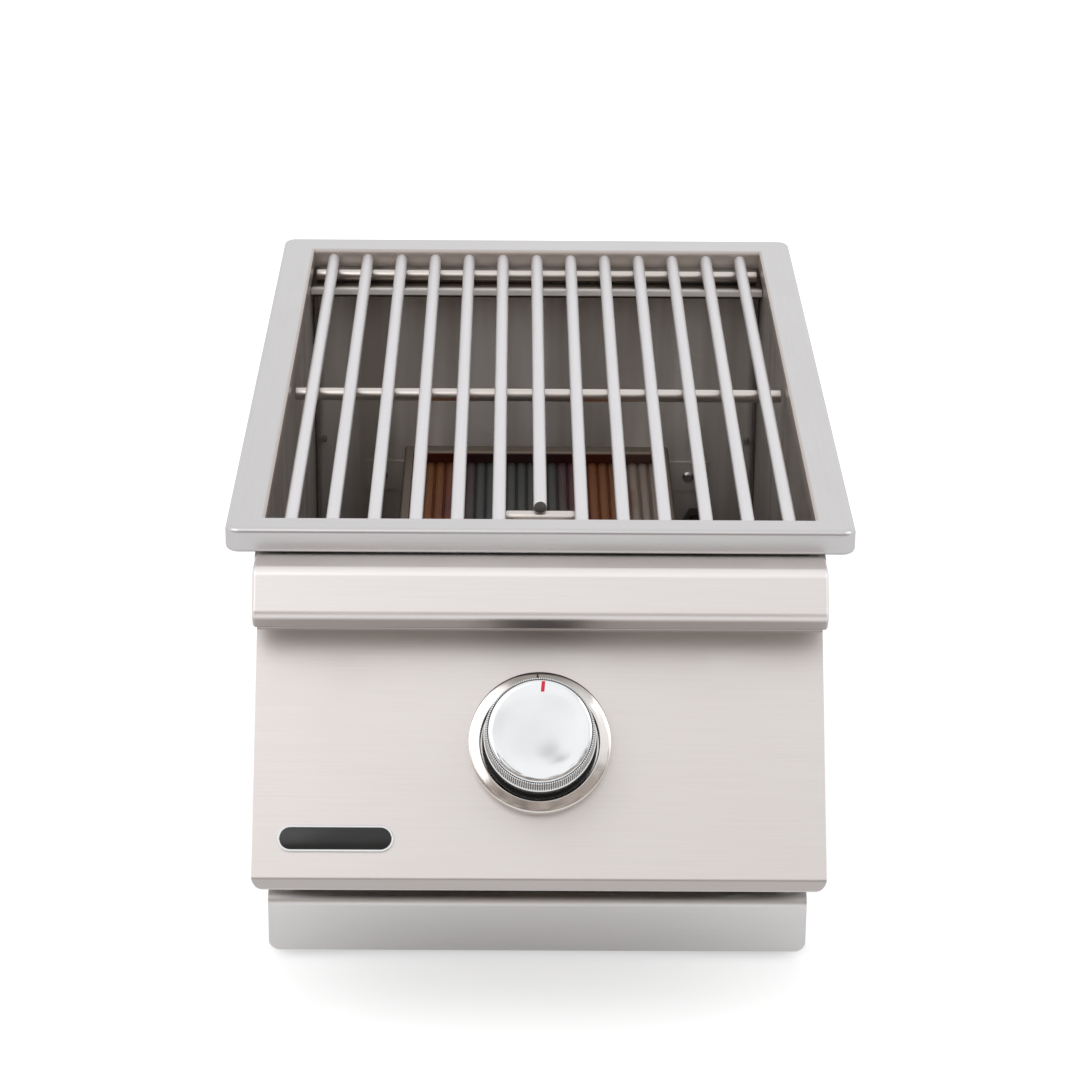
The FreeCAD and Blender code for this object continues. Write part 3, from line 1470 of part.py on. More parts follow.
ribs.Occurrences = rib_count
screen.Tip = ribs
doc.recompute()
keep(screen, "burner_screen")

# Plaques: two ceramic tiles under the screen, on a ring inside the pan.
ring = new_body("plaque_frame")
flat = sketch(ring, "XY", "plaque_foot - burner_sheet")
rectangle(
    flat,
    "-pan_x + burner_sheet",
    "burner_middle - pan_y + burner_sheet",
    "pan_x - burner_sheet",
    "burner_middle + pan_y - burner_sheet",
)
rectangle(
    flat,
    "-pan_x + burner_sheet + plaque_shelf",
    "burner_middle - pan_y + burner_sheet + plaque_shelf",
    "pan_x - burner_sheet - plaque_shelf",
    "burner_middle + pan_y - burner_sheet - plaque_shelf",
)
pad(ring, flat, "burner_sheet")
fillet(ring, "burner_bend - burner_sheet", [
    (
        times(a, "pan_x - burner_sheet"),
        "burner_middle + " + times(b, "pan_y - burner_sheet"),
        "plaque_foot - burner_sheet / 2",
    )
    for a in (1, -1) for b in (1, -1)
])
keep(ring, "plaque_frame")
plaques = []
for end in (1, -1):
    plaque = new_body("plaque")
    flat = sketch(plaque, "XY", "plaque_foot")
    rectangle(
        flat,
        "-pan_x + burner_bend + plaque_slack",
        "burner_middle + " + times(end, "plaque_slack / 2"),
        "pan_x - burner_bend - plaque_slack",
        "burner_middle + " + times(end, "pan_y - burner_bend - plaque_slack"),
    )
    pad(plaque, flat, "plaque_thick")
    plaques.append(plaque)
group("ceramic_plaques", plaques)

# Mixer tube: a spun venturi from the jet to the pan, with two air windows at its mouth.
pan_face = "burner_middle - pan_y - mixer_y"
tube_length = pan_face + " + mixer_end"
mixer = turned("mixer_tube", [
    ("mixer_out", "0"),
    ("mixer_out", "mixer_straight"),
    ("mixer_throat / 2 + mixer_sheet", "mixer_neck"),
    ("mixer_out", "mixer_flare"),
    ("mixer_out", pan_face + " - mixer_sheet"),
    ("mixer_out + mixer_collar", pan_face + " - mixer_sheet"),
    ("mixer_out + mixer_collar", pan_face),
    ("mixer_out", pan_face),
    ("mixer_out", tube_length),
    ("mixer_out - mixer_sheet", tube_length),
    ("mixer_out - mixer_sheet", "mixer_flare"),
    ("mixer_throat / 2", "mixer_neck"),
    ("mixer_out - mixer_sheet", "mixer_straight"),
    ("mixer_out - mixer_sheet", "0"),
])
flat = sketch(mixer, "XZ")
rectangle(
    flat,
    "-mixer_port_wide / 2",
    "mixer_port_inset",
    "mixer_port_wide / 2",
    "mixer_port_inset + mixer_port_long",
)
pocket(mixer, flat, "2 * mixer_dia", middle=True)
keep(place(mixer, "0", "mixer_y", "port_z", X_AXIS, "-90"), "mixer_tube")

# Air shutter: a cup that turns on the mouth of the mixer tube, its windows over the tube's.
shutter = turned("air_shutter", [
    ("shutter_face_hole / 2", "-seat_gap - shutter_sheet"),
    ("shutter_out", "-seat_gap - shutter_sheet"),
    ("shutter_out", "shutter_long - shutter_sheet"),
    ("shutter_in", "shutter_long - shutter_sheet"),
    ("shutter_in", "-seat_gap"),
    ("shutter_face_hole / 2", "-seat_gap"),
])
flat = sketch(shutter, "XZ")
rectangle(
    flat,
    "-mixer_port_wide / 2",
    "mixer_port_inset",
    "mixer_port_wide / 2",
    "mixer_port_inset + mixer_port_long",
)
pocket(shutter, flat, "2 * mixer_dia", middle=True)
flat = sketch(shutter, "YZ")
circle(flat, "0", "mixer_port_inset + mixer_port_long / 2", "shutter_screw_dia / 2")
pocket(shutter, flat, "mixer_dia", back=True)
keep(place(shutter, "0", "mixer_y", "port_z", X_AXIS, "-90"), "air_shutter")
lock = screw(
    "shutter_screw",
    "shutter_screw_head",
    "shutter_screw_tall",
    "shutter_screw_dia",
    "shutter_sheet",
)
screw_y = "mixer_y + mixer_port_inset + mixer_port_long / 2"
keep(place(lock, "shutter_out", screw_y, "port_z", Y_AXIS, "90"), "shutter_screw")

# Electrode: a ceramic rod in a strap on the burner frame, with its wire bent down over the
# screen.
insulator = turned("electrode_insulator", round_bar("electrode_dia / 2", "electrode_long"))
keep(
    place(insulator, "-electrode_reach", insulator_front, "electrode_level", X_AXIS, "-90"),
    "electrode_insulator",
)
tip_start = insulator_front + " + electrode_long"
tube_along("electrode_tip", [
    ("-electrode_reach", tip_start, "electrode_level"),
    ("-electrode_reach", tip_start + " + electrode_run", "electrode_level"),
    ("-electrode_reach", tip_start + " + electrode_over", "electrode_level - electrode_drop"),
], "electrode_bend", "electrode_wire / 2")
strap = new_body("electrode_strap")
flat = sketch(strap, "XZ", "burner_y - burner_middle")
rectangle(
    flat,
    "-electrode_reach - strap_wide / 2",
    "electrode_level - strap_low",
    "-electrode_reach + strap_wide / 2",
    "electrode_level + strap_high",
)
pad(strap, flat, "strap_sheet")
flat = sketch(strap, "XZ", "burner_y - burner_middle")
circle(flat, "-electrode_reach", "electrode_level", "electrode_dia / 2")
pocket(strap, flat, "2 * strap_sheet", back=True)
keep(strap, "electrode_strap")

# Runners: two angles on the box sides that carry the drip tray.
for side, name in ((1, "tray_runner_right"), (-1, "tray_runner_left")):
    runner = new_body(name)
    flat = sketch(runner, "XZ")
    outline(flat, [
        (times(side, "in_x"), "runner_top"),
        (times(side, "in_x - runner_shelf"), "runner_top"),
        (times(side, "in_x - runner_shelf"), "runner_top - wall"),
        (times(side, "in_x - wall"), "runner_top - wall"),
        (times(side, "in_x - wall"), "runner_top - runner_leg"),
        (times(side, "in_x"), "runner_top - runner_leg"),
    ])
    pad(runner, flat, "2 * (in_y - runner_setback)", middle=True)
    keep(runner, name)

# Drip tray: a pressed tub with side flanges that slide on the runners, and a folded front.
tray = new_body("tray_pan")
flat = sketch(tray, "XY", "tray_floor")
rectangle(flat, "-tray_x", "tray_front_back", "tray_x", "tray_rear")
pad(tray, flat, "tray_tall")
fillet(tray, "tray_corner", [
    (times(a, "tray_x"), spot_y, "tray_floor + tray_tall / 2")
    for a in (1, -1) for spot_y in ("tray_front_back", "tray_rear")
])
fillet(tray, "tray_bottom_bend", [("0", "tray_front_back", "tray_floor")])
hollow(tray, "tray_sheet", [("0", "0", "tray_floor + tray_tall")])
flat = sketch(tray, "XY", "tray_floor + tray_tall - tray_sheet")
for side in (1, -1):
    rectangle(
        flat,
        times(side, "tray_x - tray_sheet"),
        "tray_front_back + tray_corner",
        times(side, "tray_x + tray_flange"),
        "tray_rear - tray_corner",
    )
pad(tray, flat, "tray_sheet")
flat = sketch(tray, "XZ", "-tray_front_back")
rectangle(
    flat,
    "-out_x + tray_plate_inset",
    "tray_front_foot + tray_front_sheet",
    "out_x - tray_plate_inset",
    "tray_front_top - tray_front_sheet",
)
pad(tray, flat, "tray_sheet")
keep(tray, "tray_pan")
front = new_body("tray_front")
flat = sketch(front, "XZ", "-tray_front_back")
rectangle(flat, "-out_x", "tray_front_foot", "out_x", "tray_front_top")
pad(front, flat, "tray_front_deep")
fillet(front, "tray_front_corner", [
    ("out_x", "tray_front_back - tray_front_deep / 2", "tray_front_foot"),
    ("-out_x", "tray_front_back - tray_front_deep / 2", "tray_front_foot"),
])
fillet(front, "tray_front_roll", [("0", "tray_front_back - tray_front_deep", "tray_front_top")])
hollow(front, "tray_front_sheet", [("0", "tray_front_back", "(tray_front_top + tray_front_foot) / 2")])
keep(front, "tray_front")

doc.recompute()
faults = [thing.Name for thing in doc.Objects if {"Invalid", "Error"} & set(thing.State)]
faults += [thing.Label for thing in nodes if thing.Shape.isNull() or not thing.Shape.isValid()]
if faults:
    raise ValueError("not built: " + ", ".join(faults))
os.makedirs("parts", exist_ok=True)
for thing in nodes:
    thing.Shape.exportStep("parts/%s.step" % thing.Label)
    print(thing.Label, len(thing.Shape.Solids), "solid(s), volume", round(thing.Shape.Volume))
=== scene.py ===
from math import atan2, cos, pi, radians, sin

import bmesh
import bpy
from mathutils import Matrix, Vector


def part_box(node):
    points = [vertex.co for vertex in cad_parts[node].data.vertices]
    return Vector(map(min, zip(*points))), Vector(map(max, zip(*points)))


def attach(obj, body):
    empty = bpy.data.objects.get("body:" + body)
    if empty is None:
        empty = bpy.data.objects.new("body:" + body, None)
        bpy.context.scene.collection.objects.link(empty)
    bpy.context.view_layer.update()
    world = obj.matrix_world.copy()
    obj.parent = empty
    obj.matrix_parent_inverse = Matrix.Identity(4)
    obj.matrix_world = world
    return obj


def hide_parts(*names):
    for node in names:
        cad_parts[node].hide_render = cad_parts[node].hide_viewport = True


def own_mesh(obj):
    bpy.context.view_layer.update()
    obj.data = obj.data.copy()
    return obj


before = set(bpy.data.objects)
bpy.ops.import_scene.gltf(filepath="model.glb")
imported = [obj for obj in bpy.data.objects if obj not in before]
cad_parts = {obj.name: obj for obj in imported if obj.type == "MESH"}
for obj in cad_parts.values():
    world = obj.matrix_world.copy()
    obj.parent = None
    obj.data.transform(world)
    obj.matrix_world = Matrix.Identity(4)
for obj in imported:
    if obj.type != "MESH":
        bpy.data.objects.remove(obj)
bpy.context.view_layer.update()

# Camera: stands straight in front of the burner, a little above it, and looks down into the grate.
# A long lens keeps the sides of the box nearly parallel, as in the catalogue picture.
CAMERA_PLACE = (-0.01517, -2.12185, 1.00837)
CAMERA_DOWN = 0.380403
CAMERA_TURN = 0.00801053
CAMERA_ROLL = 0.00830099
lens = bpy.data.cameras.new("lens")
lens.lens = 117.78
lens.sensor_width = 36
camera = bpy.data.objects.new("camera", lens)
turn = Matrix.Rotation(-CAMERA_TURN, 4, "Z") @ Matrix.Rotation(pi / 2 - CAMERA_DOWN, 4, "X")
camera.matrix_world = Matrix.Translation(CAMERA_PLACE) @ turn @ Matrix.Rotation(CAMERA_ROLL, 4, "Z")
bpy.context.scene.collection.objects.link(camera)
bpy.context.scene.camera = camera
bpy.context.scene.view_settings.view_transform = "Standard"


# Studio: a sweep of white paper, laid flat under one broad soft lamp on the left and a weaker one
# on the right. Paper is matt, so it shows the soft shadow of the box and is otherwise plain white.
def linear(shade):
    """A colour written in sRGB hex, as the linear values that a shader takes."""
    parts = [int(shade[i:i + 2], 16) / 255 for i in (0, 2, 4)]
    return tuple(p / 12.92 if p <= 0.04045 else ((p + 0.055) / 1.055) ** 2.4 for p in parts) + (1.0,)


def add_node(tree, kind, inputs=None, **settings):
    """A node with its settings; each input is a plain value or the socket that feeds it."""
    made = tree.nodes.new(kind)
    for word, setting in settings.items():
        setattr(made, word, setting)
    for socket, given in (inputs or {}).items():
        if isinstance(given, bpy.types.NodeSocket):
            tree.links.new(given, made.inputs[socket])
        else:
            made.inputs[socket].default_value = given
    return made


def new_material(name):
    made = bpy.data.materials.new(name)
    made.use_nodes = True
    made.node_tree.nodes.clear()
    return made, made.node_tree


def sees_backdrop(tree, in_metal):
    """One for rays that look at the backdrop, a share for those that see it in metal or glass."""
    path = add_node(tree, "ShaderNodeLightPath")
    bent = add_node(tree, "ShaderNodeMath", {
        0: path.outputs["Is Glossy Ray"],
        1: path.outputs["Is Transmission Ray"],
    }, operation="MAXIMUM")
    dimmed = add_node(tree, "ShaderNodeMath", {0: bent.outputs[0], 1: in_metal}, operation="MULTIPLY")
    return add_node(tree, "ShaderNodeMath", {
        0: path.outputs["Is Camera Ray"],
        1: dimmed.outputs[0],
    }, operation="MAXIMUM").outputs[0]


AIR_LIGHT = 0.86
FOLD_SCALE = 4.5
CLUTTER_SCALE = 13.0
CLUTTER_RISE = 0.7
ROOM_TOP = 0.94
ROOM_FULL = 0.86
ROOM_SIDE = -0.35
ROOM_AHEAD = -0.6
air = bpy.data.worlds.new("studio_air")
air.use_nodes = True
tree = air.node_tree
tree.nodes.clear()
# metal sees white cloth with soft folds overhead, and the dim warm room low in front of the box
way = add_node(tree, "ShaderNodeTexCoord")
apart = add_node(tree, "ShaderNodeSeparateXYZ", {"Vector": way.outputs["Generated"]})
folds = add_node(tree, "ShaderNodeTexNoise", {
    "Vector": way.outputs["Generated"],
    "Scale": FOLD_SCALE,
    "Detail": 2.0,
})
cloth = add_node(tree, "ShaderNodeMix", {
    0: add_node(tree, "ShaderNodeMapRange", {0: folds.outputs[0], 1: 0.32, 2: 0.5}).outputs[0],
    6: linear("e4e4e5"),
    7: linear("ffffff"),
}, data_type="RGBA")
clutter = add_node(tree, "ShaderNodeTexNoise", {
    "Vector": way.outputs["Generated"],
    "Scale": CLUTTER_SCALE,
    "Detail": 2.0,
})
ragged = add_node(tree, "ShaderNodeMath", {
    0: clutter.outputs[0],
    1: CLUTTER_RISE,
    2: apart.outputs[2],
}, operation="MULTIPLY_ADD")
low = add_node(tree, "ShaderNodeMapRange", {0: ragged.outputs[0], 1: ROOM_TOP, 2: ROOM_FULL})
ahead = add_node(tree, "ShaderNodeMapRange", {0: apart.outputs[1], 1: ROOM_SIDE, 2: ROOM_AHEAD})
room = add_node(tree, "ShaderNodeMath", {0: low.outputs[0], 1: ahead.outputs[0]}, operation="MULTIPLY")
things = add_node(tree, "ShaderNodeMix", {
    0: add_node(tree, "ShaderNodeMapRange", {0: clutter.outputs[0], 1: 0.35, 2: 0.62}).outputs[0],
    6: linear("655d58"),
    7: linear("cfc6bf"),
}, data_type="RGBA")
around = add_node(tree, "ShaderNodeMix", {
    0: room.outputs[0],
    6: cloth.outputs[2],
    7: things.outputs[2],
}, data_type="RGBA")
path = add_node(tree, "ShaderNodeLightPath")
in_metal = add_node(tree, "ShaderNodeMix", {
    0: path.outputs["Is Glossy Ray"],
    6: linear("ffffff"),
    7: around.outputs[2],
}, data_type="RGBA")
strength = add_node(tree, "ShaderNodeMapRange", {
    0: sees_backdrop(tree, 1.0),
    3: AIR_LIGHT,
    4: 1.0,
})
glow = add_node(tree, "ShaderNodeBackground", {
    "Color": in_metal.outputs[2],
    "Strength": strength.outputs[0],
})
add_node(tree, "ShaderNodeOutputWorld", {"Surface": glow.outputs[0]})
bpy.context.scene.world = air

PAPER_HALF = 12
PAPER_IN_METAL = 0.2
PAPER_LIFT = 0.5
paper_white, tree = new_material("matt_white_paper")
paper = add_node(tree, "ShaderNodeBsdfDiffuse", {"Color": linear("e4e4e4")})
paper_lift = add_node(tree, "ShaderNodeMath", {
    0: sees_backdrop(tree, PAPER_IN_METAL),
    1: PAPER_LIFT,
}, operation="MULTIPLY")
paper_glow = add_node(tree, "ShaderNodeEmission", {"Strength": paper_lift.outputs[0]})
paper_all = add_node(tree, "ShaderNodeAddShader", {0: paper.outputs[0], 1: paper_glow.outputs[0]})
add_node(tree, "ShaderNodeOutputMaterial", {"Surface": paper_all.outputs[0]})
form = bmesh.new()
bmesh.ops.create_grid(form, x_segments=1, y_segments=1, size=PAPER_HALF)
sweep_mesh = bpy.data.meshes.new("paper_sweep")
form.to_mesh(sweep_mesh)
form.free()
sweep_mesh.materials.append(paper_white)
sweep = bpy.data.objects.new("paper_sweep", sweep_mesh)
bpy.context.scene.collection.objects.link(sweep)

LAMP_AIM = Vector((0, 0, 0.1))
for name, spot, power, wide in (
    ("lamp_left", (-1.6, -1.6, 2.4), 16, 2.4),
    ("lamp_right", (2.2, -1.0, 2.2), 9, 2.0),
):
    lamp_data = bpy.data.lights.new(name, "AREA")
    lamp_data.energy = power
    lamp_data.size = wide
    lamp = bpy.data.objects.new(name, lamp_data)
    aim = (LAMP_AIM - Vector(spot)).to_track_quat("-Z", "Y").to_matrix().to_4x4()
    lamp.matrix_world = Matrix.Translation(spot) @ aim
    bpy.context.scene.collection.objects.link(lamp)


# Box: folded from 1.2 mm stainless sheet, cold rolled and left with its mill finish, then screwed
# together at the corners. The inside has browned in the fire in faint streaks and is coloured darker
# low down and on the side walls; its inner corners are painted near black as painted shade.
def dress(finish, *names):
    """Give CAD nodes a finish of this script."""
    for name in names:
        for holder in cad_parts[name].material_slots:
            holder.material = finish


# fine lines of the abrasive belt: far under 0.1 mm, drawn 0.7 mm apart so that they show
BELT_LINE = 0.0007
BELT_STROKE = 0.060
GRAIN = {
    "x": (1 / BELT_STROKE, 1 / BELT_LINE, 1 / BELT_LINE),
    "y": (1 / BELT_LINE, 1 / BELT_STROKE, 1 / BELT_LINE),
    "z": (1 / BELT_LINE, 1 / BELT_LINE, 1 / BELT_STROKE),
}


def belt_lines(tree, grain):
    """The belt's lines as a value round one half, along one axis of the object."""
    where = add_node(tree, "ShaderNodeTexCoord")
    drawn = add_node(tree, "ShaderNodeMapping", {
        "Vector": where.outputs["Object"],
        "Scale": GRAIN[grain],
    })
    return add_node(tree, "ShaderNodeTexNoise", {
        "Vector": drawn.outputs[0],
        "Scale": 1.0,
        "Detail": 2.0,
        "Roughness": 0.55,
    }).outputs[0]


def finish_steel(tree, lines, dark, light, roughness, depth):
    """Stainless steel whose colour, gloss and relief follow the lines drawn on it."""
    where = add_node(tree, "ShaderNodeTexCoord")
    clouds = add_node(tree, "ShaderNodeTexNoise", {
        "Vector": where.outputs["Object"],
        "Scale": 14.0,
        "Detail": 3.0,
    })
    gloss = add_node(tree, "ShaderNodeMapRange", {
        0: clouds.outputs[0],
        1: 0.3,
        2: 0.7,
        3: roughness - 0.03,
        4: roughness + 0.04,
    })
    ink = add_node(tree, "ShaderNodeMapRange", {0: lines, 1: 0.1, 2: 0.9})
    tone = add_node(tree, "ShaderNodeMix", {0: ink.outputs[0], 6: dark, 7: light}, data_type="RGBA")
    relief = add_node(tree, "ShaderNodeBump", {
        "Height": lines,
        "Strength": 0.16,
        "Distance": depth,
    })
    steel = add_node(tree, "ShaderNodeBsdfPrincipled", {
        "Base Color": tone.outputs[2],
        "Metallic": 1.0,
        "Roughness": gloss.outputs[0],
        "Normal": relief.outputs[0],
    })
    add_node(tree, "ShaderNodeOutputMaterial", {"Surface": steel.outputs[0]})
    return tone, steel


def brushed_steel(name, grain, dark, light, roughness=0.3, depth=0.00003):
    """Stainless sheet brushed with a belt along one axis: soft gloss with fine straight lines."""
    made, tree = new_material(name)
    finish_steel(tree, belt_lines(tree, grain), linear(dark), linear(light), roughness, depth)
    return made


box_steel, tree = new_material("mill_finish_stainless")
lines = belt_lines(tree, "z")
tone, steel = finish_steel(tree, lines, linear("b9b4af"), linear("c8c4c0"), 0.34, 0.00002)
where = add_node(tree, "ShaderNodeTexCoord")
apart = add_node(tree, "ShaderNodeSeparateXYZ", {"Vector": where.outputs["Object"]})
# where the inside ends across and along, and where its painted corner shade and darkening begin and are
# full, in metres
INNER_X = 0.1580
INNER_Y = 0.2586
CORNER_ACROSS = (0.1500, 0.1572)
CORNER_ALONG = (0.2360, 0.2560)
SIDE_WALL = (0.1560, 0.1568)
LOW_DOWN = (0.17, 0.08)
CORNER_SHADE = 0.9
SIDE_DARKENING = 0.3
LOW_DARKENING = 0.4
RUN_SCALE = (38.0, 38.0, 2.0)
side_way = add_node(tree, "ShaderNodeMath", {0: apart.outputs[0]}, operation="ABSOLUTE")
deep_way = add_node(tree, "ShaderNodeMath", {0: apart.outputs[1]}, operation="ABSOLUTE")
inside_x = add_node(tree, "ShaderNodeMath", {0: side_way.outputs[0], 1: INNER_X}, operation="LESS_THAN")
inside_y = add_node(tree, "ShaderNodeMath", {0: deep_way.outputs[0], 1: INNER_Y}, operation="LESS_THAN")
inside = add_node(tree, "ShaderNodeMath", {
    0: inside_x.outputs[0],
    1: inside_y.outputs[0],
}, operation="MULTIPLY")
run_down = add_node(tree, "ShaderNodeMapping", {
    "Vector": where.outputs["Object"],
    "Scale": RUN_SCALE,
})
runs = add_node(tree, "ShaderNodeTexNoise", {"Vector": run_down.outputs[0], "Scale": 1.0, "Detail": 4.0})
streaks = add_node(tree, "ShaderNodeMapRange", {0: runs.outputs[0], 1: 0.3, 2: 0.66})
film = add_node(tree, "ShaderNodeMix", {
    0: streaks.outputs[0],
    6: linear("c3b9b2"),
    7: linear("f6f0eb"),
}, data_type="RGBA")
# painted shade: the inner corners, where the rear or front wall meets a side wall, go nearly black
corner_x = add_node(tree, "ShaderNodeMapRange", {
    0: side_way.outputs[0],
    1: CORNER_ACROSS[0],
    2: CORNER_ACROSS[1],
    4: CORNER_SHADE,
})
corner_y = add_node(tree, "ShaderNodeMapRange", {
    0: deep_way.outputs[0],
    1: CORNER_ALONG[0],
    2: CORNER_ALONG[1],
})
corner = add_node(tree, "ShaderNodeMath", {
    0: corner_x.outputs[0],
    1: corner_y.outputs[0],
}, operation="MULTIPLY")
beside = add_node(tree, "ShaderNodeMapRange", {
    0: side_way.outputs[0],
    1: SIDE_WALL[0],
    2: SIDE_WALL[1],
    4: SIDE_DARKENING,
})
deep = add_node(tree, "ShaderNodeMapRange", {
    0: apart.outputs[2],
    1: LOW_DOWN[0],
    2: LOW_DOWN[1],
    4: LOW_DARKENING,
})
walls = add_node(tree, "ShaderNodeMath", {0: beside.outputs[0], 1: deep.outputs[0]}, operation="MAXIMUM")
shade_and_darkening = add_node(tree, "ShaderNodeMath", {0: corner.outputs[0], 1: walls.outputs[0]}, operation="MAXIMUM")
film_darkened = add_node(tree, "ShaderNodeMix", {
    0: shade_and_darkening.outputs[0],
    6: film.outputs[2],
    7: linear("574e48"),
}, data_type="RGBA")
browned = add_node(tree, "ShaderNodeMix", {
    0: inside.outputs[0],
    6: tone.outputs[2],
    7: film_darkened.outputs[2],
}, data_type="RGBA")
tree.links.new(browned.outputs[2], steel.inputs["Base Color"])
bare = add_node(tree, "ShaderNodeMapRange", {0: inside.outputs[0], 3: 1.0, 4: 0.42})
tree.links.new(bare.outputs[0], steel.inputs["Metallic"])
dress(
    box_steel,
    "side_panel_left",
    "side_panel_right",
    "rear_panel",
    "front_wall",
    "floor_panel",
    "burner_support_left",
    "burner_support_right",
)

# Runners, heat shield and electrode strap: plain angles of the same sheet, spot welded or screwed
# in place. They are hardly seen, so they keep the dull mill finish.
frame_steel = brushed_steel("dull_stainless_angle", "y", "98928c", "aba59f", 0.44)
dress(frame_steel, "tray_runner_left", "tray_runner_right", "heat_shield", "electrode_strap")

# Ledges: bent angles that carry the grate, front and rear. Their tops are polished by the grate
# and browned by the heat; a band of the turned-down edge below its top is a painted highlight,
# pale and hardly metallic where it faces forward.
ledge_steel, tree = new_material("heat_browned_ledge")
tone, steel = finish_steel(tree, belt_lines(tree, "x"), linear("6a625b"), linear("817972"), 0.3, 0.00002)
# the painted highlight band below the top of the ledge: where each edge of it begins and is full, in
# metres
HIGHLIGHT_BAND_EDGES = ((-0.0003, -0.0010), (-0.0056, -0.0050))
ledge_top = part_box("grate_ledge_rear")[1][2]
where = add_node(tree, "ShaderNodeTexCoord")
level = add_node(tree, "ShaderNodeSeparateXYZ", {"Vector": where.outputs["Object"]})
surface = add_node(tree, "ShaderNodeNewGeometry")
facing = add_node(tree, "ShaderNodeSeparateXYZ", {"Vector": surface.outputs["Normal"]})
paled = add_node(tree, "ShaderNodeMapRange", {0: facing.outputs[1], 1: -0.15, 2: -0.5})
for start, full in HIGHLIGHT_BAND_EDGES:
    within = add_node(tree, "ShaderNodeMapRange", {
        0: level.outputs[2],
        1: ledge_top + start,
        2: ledge_top + full,
    })
    paled = add_node(tree, "ShaderNodeMath", {
        0: paled.outputs[0],
        1: within.outputs[0],
    }, operation="MULTIPLY")
# painted highlight: the band is mixed to near white
highlighted = add_node(tree, "ShaderNodeMix", {
    0: paled.outputs[0],
    6: tone.outputs[2],
    7: linear("fbf6f2"),
}, data_type="RGBA")
bare = add_node(tree, "ShaderNodeMapRange", {0: paled.outputs[0], 3: 1.0, 4: 0.1})
tree.links.new(highlighted.outputs[2], steel.inputs["Base Color"])
tree.links.new(bare.outputs[0], steel.inputs["Metallic"])
dress(ledge_steel, "grate_ledge_rear", "grate_ledge_front")

# Burner screen: ribbed stainless sheet that glows over the flames. The fire has tinted it in
# bands of straw, brown, purple and blue, the thin oxide colours of hot stainless steel.
TINT_MIDDLE = (-0.014, 0.0045)
TINT_HALF_WIDE = 0.077
TINT_HALF_DEEP = 0.500
TINT_WANDER = 0.12
TINT_BANDS = (
    (0.00, "555655"),
    (0.34, "515554"),
    (0.48, "5a3d48"),
    (0.60, "7c4830"),
    (0.72, "84522c"),
    (0.90, "7c5236"),
    (1.00, "94857c"),
)


def heat_tinted(name, roughness, dulling):
    """Stainless sheet with rings of heat tint round the middle of the burner."""
    made, tree = new_material(name)
    where = add_node(tree, "ShaderNodeTexCoord")
    centred = add_node(tree, "ShaderNodeMapping", {
        "Vector": where.outputs["Object"],
        "Location": (-TINT_MIDDLE[0] / TINT_HALF_WIDE, -TINT_MIDDLE[1] / TINT_HALF_DEEP, 0.0),
        "Scale": (1 / TINT_HALF_WIDE, 1 / TINT_HALF_DEEP, 0.0),
    })
    wander = add_node(tree, "ShaderNodeTexNoise", {
        "Vector": where.outputs["Object"],
        "Scale": 26.0,
        "Detail": 3.0,
    })
    ring = add_node(tree, "ShaderNodeVectorMath", {0: centred.outputs[0]}, operation="LENGTH")
    uneven = add_node(tree, "ShaderNodeMapRange", {0: wander.outputs[0], 3: -TINT_WANDER, 4: TINT_WANDER})
    reach = add_node(tree, "ShaderNodeMath", {
        0: ring.outputs["Value"],
        1: uneven.outputs[0],
    }, operation="ADD")
    bands = add_node(tree, "ShaderNodeValToRGB", {0: reach.outputs[0]})
    stops = bands.color_ramp.elements
    stops[0].position, stops[0].color = TINT_BANDS[0][0], linear(TINT_BANDS[0][1])
    stops[1].position, stops[1].color = TINT_BANDS[-1][0], linear(TINT_BANDS[-1][1])
    for spot, shade in TINT_BANDS[1:-1]:
        stops.new(spot).color = linear(shade)
    lines = belt_lines(tree, "y")
    ink = add_node(tree, "ShaderNodeMapRange", {0: lines, 1: 0.25, 2: 0.75, 3: 0.0, 4: dulling})
    tone = add_node(tree, "ShaderNodeMix", {
        0: ink.outputs[0],
        6: bands.outputs[0],
        7: linear("8e8279"),
    }, data_type="RGBA")
    relief = add_node(tree, "ShaderNodeBump", {"Height": lines, "Strength": 0.3, "Distance": 0.00004})
    steel = add_node(tree, "ShaderNodeBsdfPrincipled", {
        "Base Color": tone.outputs[2],
        "Metallic": 1.0,
        "Roughness": roughness,
        "Normal": relief.outputs[0],
    })
    add_node(tree, "ShaderNodeOutputMaterial", {"Surface": steel.outputs[0]})
    return made, tree, tone, steel


dress(heat_tinted("heat_tinted_screen", 0.52, 0.12)[0], "burner_screen")

# Burner tub and lid: deep drawn from the same sheet and clamped. Its faces that look upwards are a
# paler tan, and the upright walls have gone dark wine red next to the fire.
WINE_RED = 0.65
lid_steel, tree, tone, steel = heat_tinted("heat_reddened_lid", 0.5, 0.2)
surface = add_node(tree, "ShaderNodeNewGeometry")
apart = add_node(tree, "ShaderNodeSeparateXYZ", {"Vector": surface.outputs["True Normal"]})
# faces that look upwards are coloured a paler tan
edge = add_node(tree, "ShaderNodeMapRange", {0: apart.outputs[2], 1: 0.15, 2: 0.6})
reddened = add_node(tree, "ShaderNodeMix", {
    0: WINE_RED,
    6: tone.outputs[2],
    7: linear("5a2c30"),
}, data_type="RGBA")
paled = add_node(tree, "ShaderNodeMix", {
    0: edge.outputs[0],
    6: reddened.outputs[2],
    7: linear("766b60"),
}, data_type="RGBA")
tree.links.new(paled.outputs[2], steel.inputs["Base Color"])
dress(lid_steel, "burner_frame", "burner_pan", "plaque_frame")


